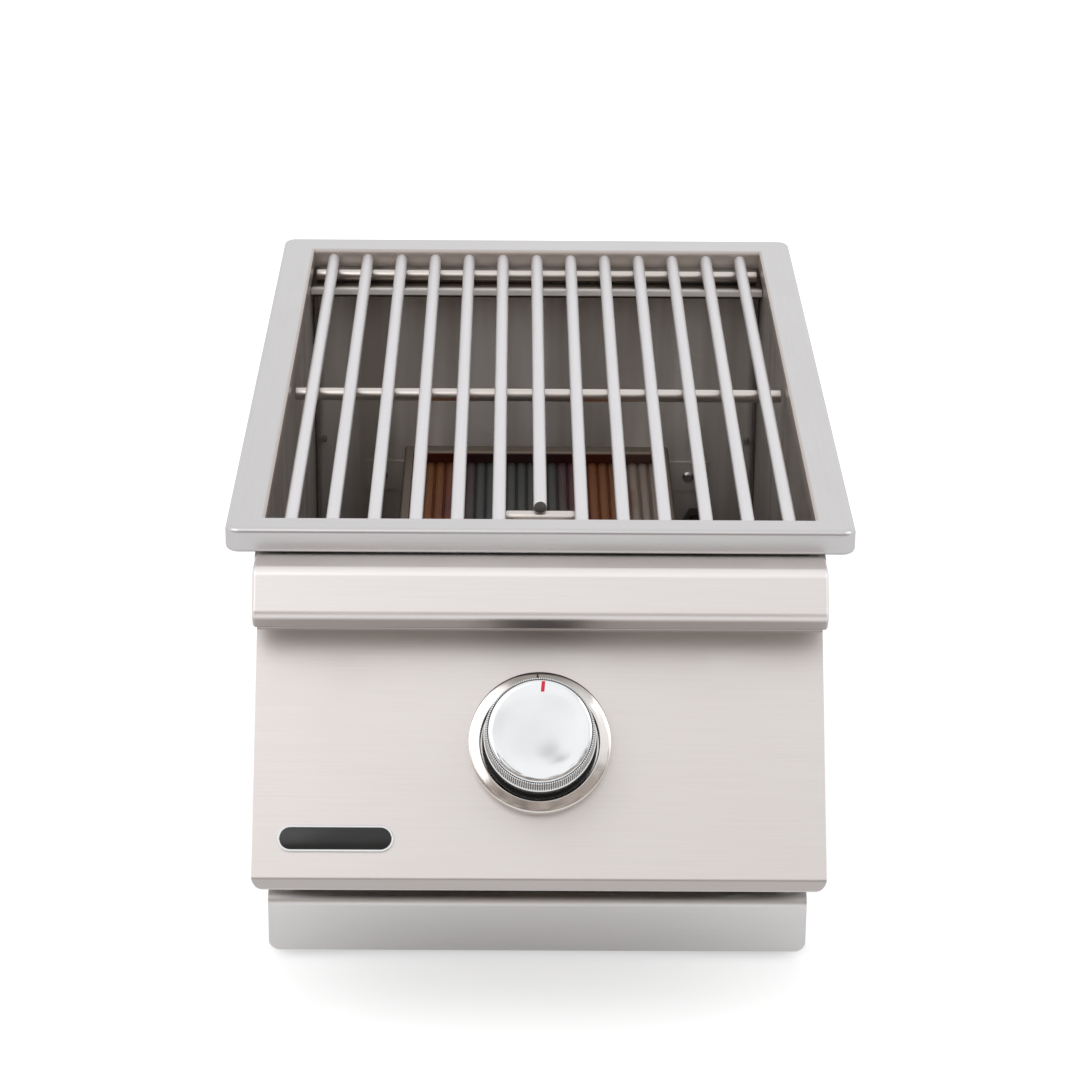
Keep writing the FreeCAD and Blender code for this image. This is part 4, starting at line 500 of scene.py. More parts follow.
# Plaques: pressed cordierite tiles with close rows of fine flame holes. Fired ceramic is matt and
# chalky; the holes are 1.2 mm wide and 2 mm apart, and their edge is given in shares of that.
def mottled(tree, scale, detail, dark, light):
    """Noise all over a piece, and two shades mixed by it."""
    where = add_node(tree, "ShaderNodeTexCoord")
    cloud = add_node(tree, "ShaderNodeTexNoise", {
        "Vector": where.outputs["Object"],
        "Scale": scale,
        "Detail": detail,
    })
    tone = add_node(tree, "ShaderNodeMix", {
        0: cloud.outputs[0],
        6: linear(dark),
        7: linear(light),
    }, data_type="RGBA")
    return cloud.outputs[0], tone.outputs[2]


HOLE_PITCH = 0.002
HOLE_EDGE = (0.28, 0.36)
plaque_white, tree = new_material("fired_cordierite")
where = add_node(tree, "ShaderNodeTexCoord")
tiled = add_node(tree, "ShaderNodeMapping", {
    "Vector": where.outputs["Object"],
    "Scale": (1 / HOLE_PITCH, 1 / HOLE_PITCH, 0.0),
})
cells = add_node(tree, "ShaderNodeTexVoronoi", {
    "Vector": tiled.outputs[0],
    "Scale": 1.0,
    "Randomness": 0.0,
})
hole = add_node(tree, "ShaderNodeMapRange", {
    0: cells.outputs["Distance"],
    1: HOLE_EDGE[0],
    2: HOLE_EDGE[1],
})
clay = mottled(tree, 900.0, 2.0, "d8cbb6", "e9dfce")[1]
# painted shade: each hole is painted dark brown for the shade inside it, and its edge is bumped
holes_painted_dark = add_node(tree, "ShaderNodeMix", {
    0: hole.outputs[0],
    6: linear("3a332c"),
    7: clay,
}, data_type="RGBA")
relief = add_node(tree, "ShaderNodeBump", {
    "Height": hole.outputs[0],
    "Strength": 0.8,
    "Distance": 0.0006,
})
tile = add_node(tree, "ShaderNodeBsdfPrincipled", {
    "Base Color": holes_painted_dark.outputs[2],
    "Roughness": 0.9,
    "Normal": relief.outputs[0],
})
add_node(tree, "ShaderNodeOutputMaterial", {"Surface": tile.outputs[0]})
dress(plaque_white, "ceramic_plaques")

# Electrode: a glazed alumina rod round a heat-proof wire. The glaze is white and smooth, with a
# faint tan stain towards the fire.
glaze, tree = new_material("glazed_alumina")
where = add_node(tree, "ShaderNodeTexCoord")
stain = add_node(tree, "ShaderNodeTexNoise", {
    "Vector": where.outputs["Object"],
    "Scale": 90.0,
    "Detail": 4.0,
})
amount = add_node(tree, "ShaderNodeMapRange", {0: stain.outputs[0], 1: 0.45, 2: 0.75})
cream = add_node(tree, "ShaderNodeMix", {
    0: amount.outputs[0],
    6: linear("efece4"),
    7: linear("cbb897"),
}, data_type="RGBA")
glazed = add_node(tree, "ShaderNodeBsdfPrincipled", {
    "Base Color": cream.outputs[2],
    "Roughness": 0.16,
    "Coat Weight": 0.4,
})
add_node(tree, "ShaderNodeOutputMaterial", {"Surface": glazed.outputs[0]})
dress(glaze, "electrode_insulator")
tip_steel = brushed_steel("scaled_electrode_wire", "y", "5e5854", "7a736d", 0.45)
dress(tip_steel, "electrode_tip")

# Mixer tube and air shutter: spun and pressed from plated steel. Zinc plating is bluish grey and
# slightly clouded.
zinc, tree = new_material("zinc_plated_steel")
spangle, plating = mottled(tree, 120.0, 4.0, "92959a", "bfc1c3")
dull = add_node(tree, "ShaderNodeMapRange", {0: spangle, 3: 0.28, 4: 0.46})
plated = add_node(tree, "ShaderNodeBsdfPrincipled", {
    "Base Color": plating,
    "Metallic": 1.0,
    "Roughness": dull.outputs[0],
})
add_node(tree, "ShaderNodeOutputMaterial", {"Surface": plated.outputs[0]})
dress(zinc, "mixer_tube", "air_shutter", "return_spring", "knob_clip", "thrust_collar")

# Valve, stem, jet and inlet: turned from brass bar. Turning leaves it bright yellow with fine tool
# marks; handling has browned it a little, and inside the box it is coloured much darker.
brass, tree = new_material("turned_brass")
patina, yellow = mottled(tree, 45.0, 4.0, "a98545", "d3b26c")
where = add_node(tree, "ShaderNodeTexCoord")
tool_marks = add_node(tree, "ShaderNodeTexNoise", {
    "Vector": where.outputs["Object"],
    "Scale": 420.0,
    "Detail": 3.0,
})
apart = add_node(tree, "ShaderNodeSeparateXYZ", {"Vector": where.outputs["Object"]})
deep_way = add_node(tree, "ShaderNodeMath", {0: apart.outputs[1]}, operation="ABSOLUTE")
in_box = add_node(tree, "ShaderNodeMath", {0: deep_way.outputs[0], 1: INNER_Y}, operation="LESS_THAN")
darkened = add_node(tree, "ShaderNodeMix", {
    0: in_box.outputs[0],
    6: yellow,
    7: linear("4a4038"),
}, data_type="RGBA")
worn = add_node(tree, "ShaderNodeMapRange", {0: patina, 3: 0.24, 4: 0.42})
relief = add_node(tree, "ShaderNodeBump", {
    "Height": tool_marks.outputs[0],
    "Strength": 0.2,
    "Distance": 0.00004,
})
turned_brass = add_node(tree, "ShaderNodeBsdfPrincipled", {
    "Base Color": darkened.outputs[2],
    "Metallic": 1.0,
    "Roughness": worn.outputs[0],
    "Normal": relief.outputs[0],
})
add_node(tree, "ShaderNodeOutputMaterial", {"Surface": turned_brass.outputs[0]})
dress(brass, "valve_body", "valve_stem", "orifice", "inlet_fitting", "bulkhead_nut")

# Valve bonnet and supply pipe: the bonnet is die-cast, the pipe drawn, both in bare aluminium. Cast
# and drawn aluminium is pale grey and satin, with a slight orange-peel grain.
alloy, tree = new_material("cast_and_drawn_aluminium")
peel, tone = mottled(tree, 700.0, 2.0, "a6a7a8", "c6c7c8")
relief = add_node(tree, "ShaderNodeBump", {"Height": peel, "Strength": 0.4, "Distance": 0.0001})
cast = add_node(tree, "ShaderNodeBsdfPrincipled", {
    "Base Color": tone,
    "Metallic": 1.0,
    "Roughness": 0.42,
    "Normal": relief.outputs[0],
})
add_node(tree, "ShaderNodeOutputMaterial", {"Surface": cast.outputs[0]})
dress(alloy, "valve_bonnet", "supply_pipe")


# Spark module: a box of black glass-filled nylon, moulded. Its skin is satin, finely grained and
# faintly streaked by the glass.
def moulded(name, shade, pale, roughness, grain_mm):
    """A moulded plastic or rubber with a fine grain in its skin."""
    made, tree = new_material(name)
    skin, tone = mottled(tree, 1000.0 / grain_mm, 2.0, shade, pale)
    relief = add_node(tree, "ShaderNodeBump", {"Height": skin, "Strength": 0.3, "Distance": 0.00006})
    plastic = add_node(tree, "ShaderNodeBsdfPrincipled", {
        "Base Color": tone,
        "Roughness": roughness,
        "IOR": 1.5,
        "Normal": relief.outputs[0],
    })
    add_node(tree, "ShaderNodeOutputMaterial", {"Surface": plastic.outputs[0]})
    return made


dress(moulded("glass_filled_nylon", "141414", "242424", 0.5, 0.8), "spark_module")

# Ignition lead and bushes: silicone rubber that stands the heat, soft and matt. The lead is red
# brown, the bushes black.
dress(moulded("silicone_lead", "6e2c22", "84382b", 0.55, 0.9), "spark_wire")
dress(moulded("black_silicone_bush", "171717", "262626", 0.7, 0.9), "wire_grommet", "pipe_grommet")

# Top frame: folded from one brushed stainless blank and mitred and welded at the corners, so the
# belt lines run along each side and meet at 45 degrees. Its inner lip and the bend into it are a
# duller taupe.
OPENING_HALF_WIDE = 0.156
OPENING_HALF_DEEP = 0.2565
LIP_REACH = (0.0024, 0.0007)
rim_steel, tree = new_material("mitred_brushed_stainless")
where = add_node(tree, "ShaderNodeTexCoord")
apart = add_node(tree, "ShaderNodeSeparateXYZ", {"Vector": where.outputs["Object"]})
reaches = []
for socket, half in ((0, OPENING_HALF_WIDE), (1, OPENING_HALF_DEEP)):
    way = add_node(tree, "ShaderNodeMath", {0: apart.outputs[socket]}, operation="ABSOLUTE")
    reach = add_node(tree, "ShaderNodeMath", {0: way.outputs[0], 1: half}, operation="SUBTRACT")
    reaches.append(reach.outputs[0])
on_side = add_node(tree, "ShaderNodeMath", {0: reaches[0], 1: reaches[1]}, operation="GREATER_THAN")
mitred = add_node(tree, "ShaderNodeMix", {
    0: on_side.outputs[0],
    2: belt_lines(tree, "x"),
    3: belt_lines(tree, "y"),
}, data_type="FLOAT")
lines = mitred.outputs[0]
tone, steel = finish_steel(tree, lines, linear("cbc9ca"), linear("d4d2d3"), 0.3, 0.00003)
widest = add_node(tree, "ShaderNodeMath", {0: reaches[0], 1: reaches[1]}, operation="MAXIMUM")
lip = add_node(tree, "ShaderNodeMapRange", {0: widest.outputs[0], 1: LIP_REACH[0], 2: LIP_REACH[1]})
darkened = add_node(tree, "ShaderNodeMix", {
    0: lip.outputs[0],
    6: tone.outputs[2],
    7: linear("b6aba4"),
}, data_type="RGBA")
bare = add_node(tree, "ShaderNodeMapRange", {0: lip.outputs[0], 3: 1.0, 4: 0.5})
tree.links.new(darkened.outputs[2], steel.inputs["Base Color"])
tree.links.new(bare.outputs[0], steel.inputs["Metallic"])
dress(rim_steel, "top_frame")

# Grate: thirteen round bars of ground stainless steel on three cross rods and a short one. Ground
# bar is bright but matt, with fine lines drawn along it; its sawn ends are dull.
def turned(profile, steps):
    """A form turned about its own Z, from pairs of radius and height in millimetres."""
    form = bmesh.new()
    rings = []
    for radius_mm, height_mm in profile:
        if rings and (radius_mm, height_mm) == profile[0]:
            rings.append(rings[0])
            continue
        r, z = radius_mm / 1000, height_mm / 1000
        count = steps if r else 1
        rings.append([
            form.verts.new((r * cos(2 * pi * i / steps), r * sin(2 * pi * i / steps), z))
            for i in range(count)
        ])
    for low, high in zip(rings, rings[1:]):
        for i in range(steps):
            j = (i + 1) % steps
            corners = [low[i % len(low)], low[j % len(low)], high[j % len(high)], high[i % len(high)]]
            form.faces.new(list(dict.fromkeys(corners)))
    return form


def finished_piece(name, form, finish, body, place=None, sharp=30):
    """A mesh of the scene, put in its place, smoothed and hung on its body."""
    if place:
        form.transform(place)
    bmesh.ops.recalc_face_normals(form, faces=form.faces)
    mesh = bpy.data.meshes.new(name)
    form.to_mesh(mesh)
    form.free()
    mesh.materials.append(finish)
    mesh.polygons.foreach_set("use_smooth", [True] * len(mesh.polygons))
    mesh.set_sharp_from_angle(angle=radians(sharp))
    made = bpy.data.objects.new(name, mesh)
    bpy.context.scene.collection.objects.link(made)
    if body:
        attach(made, body)
    return made


def from_tree(name, tree, values, finish, body, place=None):
    """Run a tree of nodes with its values, and keep the result as one plain piece."""
    holder = bpy.data.objects.new(name + "_points", bpy.data.meshes.new(name + "_points"))
    bpy.context.scene.collection.objects.link(holder)
    run = holder.modifiers.new("nodes", "NODES")
    run.node_group = tree
    named = {"Finish": finish}
    named.update(values)
    for item in tree.interface.items_tree:
        if item.in_out == "INPUT" and item.name in named:
            run[item.identifier] = named[item.name]
    ready = holder.evaluated_get(bpy.context.evaluated_depsgraph_get())
    mesh = bpy.data.meshes.new_from_object(ready)
    mesh.name = name
    bpy.data.objects.remove(holder)
    if "Shape" in values:
        bpy.data.objects.remove(values["Shape"])
    if place:
        mesh.transform(place)
    made = bpy.data.objects.new(name, mesh)
    bpy.context.scene.collection.objects.link(made)
    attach(made, body)
    return made


def new_tree(name, inputs):
    """An empty tree of geometry nodes with its named inputs."""
    tree = bpy.data.node_groups.new(name, "GeometryNodeTree")
    tree.interface.new_socket(name="Finish", in_out="INPUT", socket_type="NodeSocketMaterial")
    for word, kind in inputs.items():
        tree.interface.new_socket(name=word, in_out="INPUT", socket_type=kind)
    tree.interface.new_socket(name="Geometry", in_out="OUTPUT", socket_type="NodeSocketGeometry")
    return tree, add_node(tree, "NodeGroupInput").outputs


def end_tree(tree, given, result):
    real = add_node(tree, "GeometryNodeRealizeInstances", {"Geometry": result})
    dressed = add_node(tree, "GeometryNodeSetMaterial", {
        "Geometry": real.outputs[0],
        "Material": given["Finish"],
    })
    add_node(tree, "NodeGroupOutput", {0: dressed.outputs[0]})


# a row of copies in equal steps; one of them can be left out
row_tree, given = new_tree("row_across_the_grate", {
    "Shape": "NodeSocketObject",
    "Count": "NodeSocketInt",
    "Left Out": "NodeSocketInt",
    "First": "NodeSocketVector",
    "Step": "NodeSocketVector",
    "Turn": "NodeSocketVector",
})
line = add_node(row_tree, "GeometryNodeMeshLine", {
    "Count": given["Count"],
    "Start Location": given["First"],
    "Offset": given["Step"],
}, mode="OFFSET")
shape_in = add_node(row_tree, "GeometryNodeObjectInfo", {"Object": given["Shape"]})
number = add_node(row_tree, "GeometryNodeInputIndex")
here = add_node(row_tree, "FunctionNodeCompare", {
    "A": number.outputs[0],
    "B": given["Left Out"],
}, data_type="INT", operation="NOT_EQUAL")
copies = add_node(row_tree, "GeometryNodeInstanceOnPoints", {
    "Points": line.outputs[0],
    "Selection": here.outputs[0],
    "Instance": shape_in.outputs["Geometry"],
    "Rotation": given["Turn"],
})
end_tree(row_tree, given, copies.outputs[0])

rod_steel, tree = new_material("ground_stainless_bar")
tone, steel = finish_steel(tree, belt_lines(tree, "y"), linear("dfdddf"), linear("e9e7e8"), 0.44, 0.00002)
surface = add_node(tree, "ShaderNodeNewGeometry")
apart = add_node(tree, "ShaderNodeSeparateXYZ", {"Vector": surface.outputs["True Normal"]})
sawn = add_node(tree, "ShaderNodeMath", {0: apart.outputs[1], 1: -0.9}, operation="LESS_THAN")
ended = add_node(tree, "ShaderNodeMix", {
    0: sawn.outputs[0],
    6: tone.outputs[2],
    7: linear("8c8a88"),
}, data_type="RGBA")
tree.links.new(ended.outputs[2], steel.inputs["Base Color"])

BAR_RADIUS = 3.97
BAR_COUNT = 13
LIFT_BAR = BAR_COUNT // 2
LIFT_BAR_START = -0.2234
BAR_STEPS = 32
BAR_END = ((0, 0.0), (3.05, 0.0), (3.5, 0.1), (3.82, 0.38), (BAR_RADIUS, 0.9))


def round_bar(long_mm):
    """A round bar from the origin up its own Z, with its ends broken by a file."""
    return turned(BAR_END + tuple((r, long_mm - z) for r, z in reversed(BAR_END)), BAR_STEPS)


bars_low, bars_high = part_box("grate_bars")
bar_level = bars_high[2] - BAR_RADIUS / 1000
bar_first = bars_low[0] + BAR_RADIUS / 1000
bar_step = -2 * bar_first / (BAR_COUNT - 1)
bar_long = 1000 * (bars_high[1] - bars_low[1])
bar = finished_piece("bar", round_bar(bar_long), rod_steel, None)
laid_back = (-pi / 2, 0.0, 0.0)
bars = from_tree("ground_grate_bars", row_tree, {
    "Shape": bar,
    "Count": BAR_COUNT,
    "Left Out": LIFT_BAR,
    "First": (bar_first, bars_low[1], bar_level),
    "Step": (bar_step, 0.0, 0.0),
    "Turn": laid_back,
}, rod_steel, "grate")
lift_place = Matrix.Translation((0, LIFT_BAR_START, bar_level)) @ Matrix.Rotation(-pi / 2, 4, "X")
lift_bar = round_bar(1000 * (bars_high[1] - LIFT_BAR_START))
finished_piece("ground_lifting_bar", lift_bar, rod_steel, "grate", lift_place)
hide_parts("grate_bars")

# Cross rods: the same bar, polished, three across the grate and a short one to lift it by. They
# are resistance welded under the bars, which leaves a small browned bead at each crossing.
cross_steel = brushed_steel("polished_cross_rod", "x", "cfc7c2", "dfd8d2", 0.3)
rods_low, rods_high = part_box("grate_rods")
rod_level = rods_low[2] + BAR_RADIUS / 1000
ROD_PLACES = (("front", -0.243), ("middle", -0.0072), ("rear", 0.243))
LIFT_ROD_PLACE = -0.2197
WELD_RADIUS = 0.0019
WELD_FLATNESS = 0.5
bead_steel = brushed_steel("browned_weld_bead", "x", "6d5f50", "9b8f80", 0.4)


def cross_rod(name, half_long, place_y):
    """A rod across the grate at one depth."""
    laid = Matrix.Translation((-half_long, place_y, rod_level)) @ Matrix.Rotation(pi / 2, 4, "Y")
    form = round_bar(2000 * half_long)
    return finished_piece(name + "_cross_rod", form, cross_steel, "grate", laid)


def weld_row(name, count, first_x, place_y):
    """The beads where one rod meets the bars, squashed flat between them."""
    form = bmesh.new()
    bmesh.ops.create_uvsphere(form, u_segments=10, v_segments=6, radius=WELD_RADIUS)
    for corner in form.verts:
        corner.co.z *= WELD_FLATNESS
    bead = finished_piece("weld_bead", form, bead_steel, None, sharp=180)
    from_tree(name + "_weld_beads", row_tree, {
        "Shape": bead,
        "Count": count,
        "Left Out": -1,
        "First": (first_x, place_y, (bar_level + rod_level) / 2),
        "Step": (bar_step, 0.0, 0.0),
        "Turn": (0.0, 0.0, 0.0),
    }, bead_steel, "grate")


rods = [cross_rod(name, rods_high[0], place_y) for name, place_y in ROD_PLACES]
for name, place_y in ROD_PLACES:
    weld_row(name, BAR_COUNT, bar_first, place_y)
cross_rod("lifting", bar_step + BAR_RADIUS / 1000, LIFT_ROD_PLACE)
weld_row("lifting", 3, -bar_step, LIFT_ROD_PLACE)
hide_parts("grate_rods")


# Front rail: a folded nose of brushed stainless under the rim, with the belt lines across. Its
# underside is painted dull and dark, a painted shadow under the nose.
def paint_shade_facing(tree, tone, steel, axis, start, full, shade):
    """Painted shade: another colour on a steel where it faces along an axis: 1 is along it and -1 against
    it.
    """
    surface = add_node(tree, "ShaderNodeNewGeometry")
    apart = add_node(tree, "ShaderNodeSeparateXYZ", {"Vector": surface.outputs["Normal"]})
    facing = add_node(tree, "ShaderNodeMapRange", {0: apart.outputs[axis], 1: start, 2: full})
    mixed = add_node(tree, "ShaderNodeMix", {
        0: facing.outputs[0],
        6: tone.outputs[2],
        7: linear(shade),
    }, data_type="RGBA")
    tree.links.new(mixed.outputs[2], steel.inputs["Base Color"])


rail_steel, tree = new_material("brushed_stainless_rail")
lines = belt_lines(tree, "x")
tone, steel = finish_steel(tree, lines, linear("e9e4e3"), linear("f0ecea"), 0.42, 0.00003)
# painted shadow: faces that look downwards are painted darker
paint_shade_facing(tree, tone, steel, 2, -0.15, -0.75, "a09994")
dress(rail_steel, "front_rail")

# Control panel: the sloped face, folded with side flanges and a lip, and its side plates. It is
# brushed across and a little warmer than the rim; the lip, which faces straight forward, is painted
# darker as painted shade.
panel_steel, tree = new_material("brushed_stainless_panel")
lines = belt_lines(tree, "x")
tone, steel = finish_steel(tree, lines, linear("dfd9d7"), linear("e6e1df"), 0.4, 0.00003)
# painted shade: faces that look straight forward, the lip, are painted darker
paint_shade_facing(tree, tone, steel, 1, -0.86, -0.97, "c3bdbb")
dress(panel_steel, "control_panel", "control_side_left", "control_side_right")

# Bezel: a stainless ring spun and polished, screwed on behind the knob. Its face falls away a
# little outwards, so it mirrors the room low in front; its upper arc is painted darker, a painted
# reflection of the dark underside of the rail.
TURNING_PITCH = 0.0005
PAINTED_REFLECTION_ARC = (0.024, 0.036)
DIAL_PLACE = (0.0, -0.3184, 0.163)
DIAL_TILT = radians(54)
on_dial = Matrix.Translation(DIAL_PLACE) @ Matrix.Rotation(DIAL_TILT, 4, "X")
bezel_satin, tree = new_material("polished_turned_stainless")
where = add_node(tree, "ShaderNodeTexCoord")
centred = add_node(tree, "ShaderNodeVectorMath", {
    0: where.outputs["Object"],
    1: DIAL_PLACE,
}, operation="SUBTRACT")
faced = add_node(tree, "ShaderNodeVectorRotate", {
    "Vector": centred.outputs[0],
    "Angle": -DIAL_TILT,
}, rotation_type="X_AXIS")
flat = add_node(tree, "ShaderNodeVectorMath", {
    0: faced.outputs[0],
    1: (1.0, 1.0, 0.0),
}, operation="MULTIPLY")
radius = add_node(tree, "ShaderNodeVectorMath", {0: flat.outputs[0]}, operation="LENGTH")
spread = add_node(tree, "ShaderNodeMath", {
    0: radius.outputs["Value"],
    1: 1 / TURNING_PITCH,
}, operation="MULTIPLY")
cut_rings = add_node(tree, "ShaderNodeTexNoise", {
    "W": spread.outputs[0],
    "Scale": 1.0,
    "Detail": 1.0,
}, noise_dimensions="1D")
lines = cut_rings.outputs[0]
tone, steel = finish_steel(tree, lines, linear("e4deda"), linear("efebe7"), 0.13, 0.00001)
apart = add_node(tree, "ShaderNodeSeparateXYZ", {"Vector": flat.outputs[0]})
# painted reflection: the upper arc of the ring is painted darker
reflected_arc = add_node(tree, "ShaderNodeMapRange", {
    0: apart.outputs[1],
    1: PAINTED_REFLECTION_ARC[0],
    2: PAINTED_REFLECTION_ARC[1],
})
painted_reflection = add_node(tree, "ShaderNodeMix", {
    0: reflected_arc.outputs[0],
    6: tone.outputs[2],
    7: linear("9a948f"),
}, data_type="RGBA")
tree.links.new(painted_reflection.outputs[2], steel.inputs["Base Color"])
# the outline of the ring in millimetres, radius and height, and the part of it that is its face
BEZEL_PROFILE = (
    (12.0, 0), (39.5, 0), (39.5, 0.5), (40.2, 0.9), (40.2, 8.0), (40.05, 8.3), (39.7, 8.55),
    (39.2, 8.75), (37.5, 9.15), (35.6, 9.6), (34.4, 9.9),
    (33.9, 9.98), (33.5, 9.85), (33.3, 9.5), (33.3, 2.0), (12.0, 2.0), (12.0, 0),
)
BEZEL_FACE = BEZEL_PROFILE[7:11]
BEZEL_STEPS = 160
bezel_form = turned(BEZEL_PROFILE, BEZEL_STEPS)
bezel = finished_piece("polished_bezel", bezel_form, bezel_satin, "box", on_dial, sharp=40)
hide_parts("bezel_ring")


def skin_over(form, rows):
    """Faces from each row of corners to the next one, and a face at both ends."""
    for low, high in zip(rows, rows[1:]):
        for i in range(len(low)):
            j = (i + 1) % len(low)
            form.faces.new((low[i], low[j], high[j], high[i]))
    form.faces.new(rows[0])
    form.faces.new(rows[-1])
    return form


INLAY_ROWS = 18
INLAY_PROUD = 0.04


def inlay(low, high, profile):
    """A thin mark that lies on a turned face: each end is a distance up the dial and two edges."""
    def level(radius_mm):
        for (r0, z0), (r1, z1) in zip(profile, profile[1:]):
            if min(r0, r1) <= radius_mm <= max(r0, r1):
                return z0 + (z1 - z0) * (radius_mm - r0) / (r1 - r0)

    form = bmesh.new()
    rows = []
    for i in range(INLAY_ROWS + 1):
        up, left, right = (a + (b - a) * i / INLAY_ROWS for a, b in zip(low, high))
        z = level(Vector(((left + right) / 2, up)).length)
        rows.append([
            form.verts.new((x / 1000, up / 1000, (z + out) / 1000))
            for x, out in (
                (left, -INLAY_PROUD),
                (right, -INLAY_PROUD),
                (right, INLAY_PROUD),
                (left, INLAY_PROUD),
            )
        ])
    return skin_over(form, rows)


# Off mark: a small black wedge above the knob, screen printed on the bezel. Printing ink is matt
# and lies flat on the polished ring.
black_ink = moulded("black_printing_ink", "101010", "1c1c1c", 0.5, 0.5)
OFF_MARK_FOOT = (34.9, -2.3, -0.3)
OFF_MARK_TIP = (39.1, -1.6, -1.1)
off_mark = inlay(OFF_MARK_FOOT, OFF_MARK_TIP, BEZEL_FACE)
finished_piece("bezel_off_mark", off_mark, black_ink, "box", on_dial)

# Screws: stainless pan heads, cold formed, that hold the box corners, the burner supports and the
# bezel. Cold forming leaves them smooth and a little darker than the sheet.
screw_steel = brushed_steel("cold_formed_screw_steel", "x", "aaa8a6", "c2c0be", 0.26)
dress(screw_steel, "bezel_screws", "support_screws", "rear_screws", "shutter_screw")

# Knob base: black moulded phenolic, pushed on the stem behind the cap. It is smooth and half
# glossy, and shows as a dark gap between the cap and the bezel.
dress(moulded("black_phenolic", "0d0d0d", "171717", 0.32, 0.9), "knob_base")

# Return spring: four open turns of zinc-plated spring wire between the valve body and the collar on
# the stem. The knob presses it 3 mm shorter, and it lifts the knob again.
COIL_TURNS = 4
COIL_STEPS = 24 * COIL_TURNS
COIL_RADIUS = 5.8
WIRE_RADIUS = 0.5
WIRE_SIDES = 8
COIL_LOW = -17.4
COIL_HIGH = -8.6
# a straight wire is drawn upwards in steps, moved out from the axis and wound round it as it rises
coil_tree, given = new_tree("wire_wound_into_a_coil", {
    "Points": "NodeSocketInt",
    "Step": "NodeSocketVector",
    "Sides": "NodeSocketInt",
    "Wire": "NodeSocketFloat",
    "Radius": "NodeSocketFloat",
    "Winding": "NodeSocketFloat",
})
line = add_node(coil_tree, "GeometryNodeMeshLine", {
    "Count": given["Points"],
    "Offset": given["Step"],
}, mode="OFFSET")
path = add_node(coil_tree, "GeometryNodeMeshToCurve", {"Mesh": line.outputs[0]})
section = add_node(coil_tree, "GeometryNodeCurvePrimitiveCircle", {
    "Resolution": given["Sides"],
    "Radius": given["Wire"],
})
wire = add_node(coil_tree, "GeometryNodeCurveToMesh", {
    "Curve": path.outputs[0],
    "Profile Curve": section.outputs[0],
    "Fill Caps": True,
})
spot = add_node(coil_tree, "GeometryNodeInputPosition")
apart = add_node(coil_tree, "ShaderNodeSeparateXYZ", {"Vector": spot.outputs[0]})
out = add_node(coil_tree, "ShaderNodeMath", {0: given["Radius"], 1: apart.outputs[0]}, operation="ADD")
high = add_node(coil_tree, "ShaderNodeMath", {
    0: apart.outputs[2],
    1: apart.outputs[1],
}, operation="SUBTRACT")
moved_out = add_node(coil_tree, "ShaderNodeCombineXYZ", {0: out.outputs[0], 2: high.outputs[0]})
turn_by = add_node(coil_tree, "ShaderNodeMath", {
    0: apart.outputs[2],
    1: given["Winding"],
}, operation="MULTIPLY")
wound = add_node(coil_tree, "ShaderNodeVectorRotate", {
    "Vector": moved_out.outputs[0],
    "Angle": turn_by.outputs[0],
}, rotation_type="Z_AXIS")
coiled = add_node(coil_tree, "GeometryNodeSetPosition", {
    "Geometry": wire.outputs[0],
    "Position": wound.outputs[0],
})
end_tree(coil_tree, given, coiled.outputs[0])
coil_rise = (COIL_HIGH - COIL_LOW) / 1000
coil = from_tree("coiled_return_spring", coil_tree, {
    "Points": COIL_STEPS + 1,
    "Step": (0.0, 0.0, coil_rise / COIL_STEPS),
    "Sides": WIRE_SIDES,
    "Wire": WIRE_RADIUS / 1000,
    "Radius": COIL_RADIUS / 1000,
    "Winding": 2 * pi * COIL_TURNS / coil_rise,
}, zinc, "box", on_dial @ Matrix.Translation((0, 0, COIL_LOW / 1000)))
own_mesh(coil)
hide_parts("return_spring")

# Knob cap: pressed zinc, polished and chromed. A slightly domed mirror face, a row of fine beads
# round its edge and a milled side down to a plain lip.
chrome, tree = new_material("polished_chrome_plating")
haze, bright = mottled(tree, 60.0, 3.0, "eceef0", "f7f8f9")
shine = add_node(tree, "ShaderNodeMapRange", {0: haze, 3: 0.03, 4: 0.09})
plating = add_node(tree, "ShaderNodeBsdfPrincipled", {
    "Base Color": bright,
    "Metallic": 1.0,
    "Roughness": shine.outputs[0],
})
add_node(tree, "ShaderNodeOutputMaterial", {"Surface": plating.outputs[0]})

# the outline of the cap in millimetres, radius and height, first its domed face
CAP_FACE = (
    (0, 41.49), (8.0, 41.47), (14.0, 41.42), (19.0, 41.35), (22.5, 41.27), (25.0, 41.18),
    (26.8, 41.06), (27.8, 40.9), (28.4, 40.65), (28.8, 40.3), (28.9, 39.9), (28.95, 39.5),
)
CAP_PROFILE = CAP_FACE + (
    (29.4, 39.25), (29.8, 38.7), (30.75, 26.9), (31.2, 26.55), (31.45, 26.3), (31.45, 25.25),
    (31.2, 25.0), (28.9, 25.0), (28.2, 25.2), (26.0, 38.9), (0, 38.9),
)
KNOB_STEPS = 192
cap_form = turned(CAP_PROFILE, KNOB_STEPS)
cap = finished_piece("chrome_knob_cap", cap_form, chrome, "knob", on_dial, sharp=40)
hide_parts("knob_cap")

# Sleeve behind the beads and ridges: the bottom of the milling, painted dark grey as painted
# shade between the ridges, so that each bright bead and ridge stands out.
groove_shade_paint = moulded("painted_milling_shade", "4a4949", "676665", 0.4, 0.4)
SLEEVE_PROFILE = (
    (28.98, 39.45), (29.0, 39.75), (29.6, 39.75), (30.02, 39.2), (30.93, 26.85), (30.7, 26.85),
    (29.8, 38.7), (29.4, 39.2), (28.98, 39.45),
)
sleeve_form = turned(SLEEVE_PROFILE, KNOB_STEPS)
finished_piece("milled_sleeve", sleeve_form, groove_shade_paint, "knob", on_dial, sharp=40)

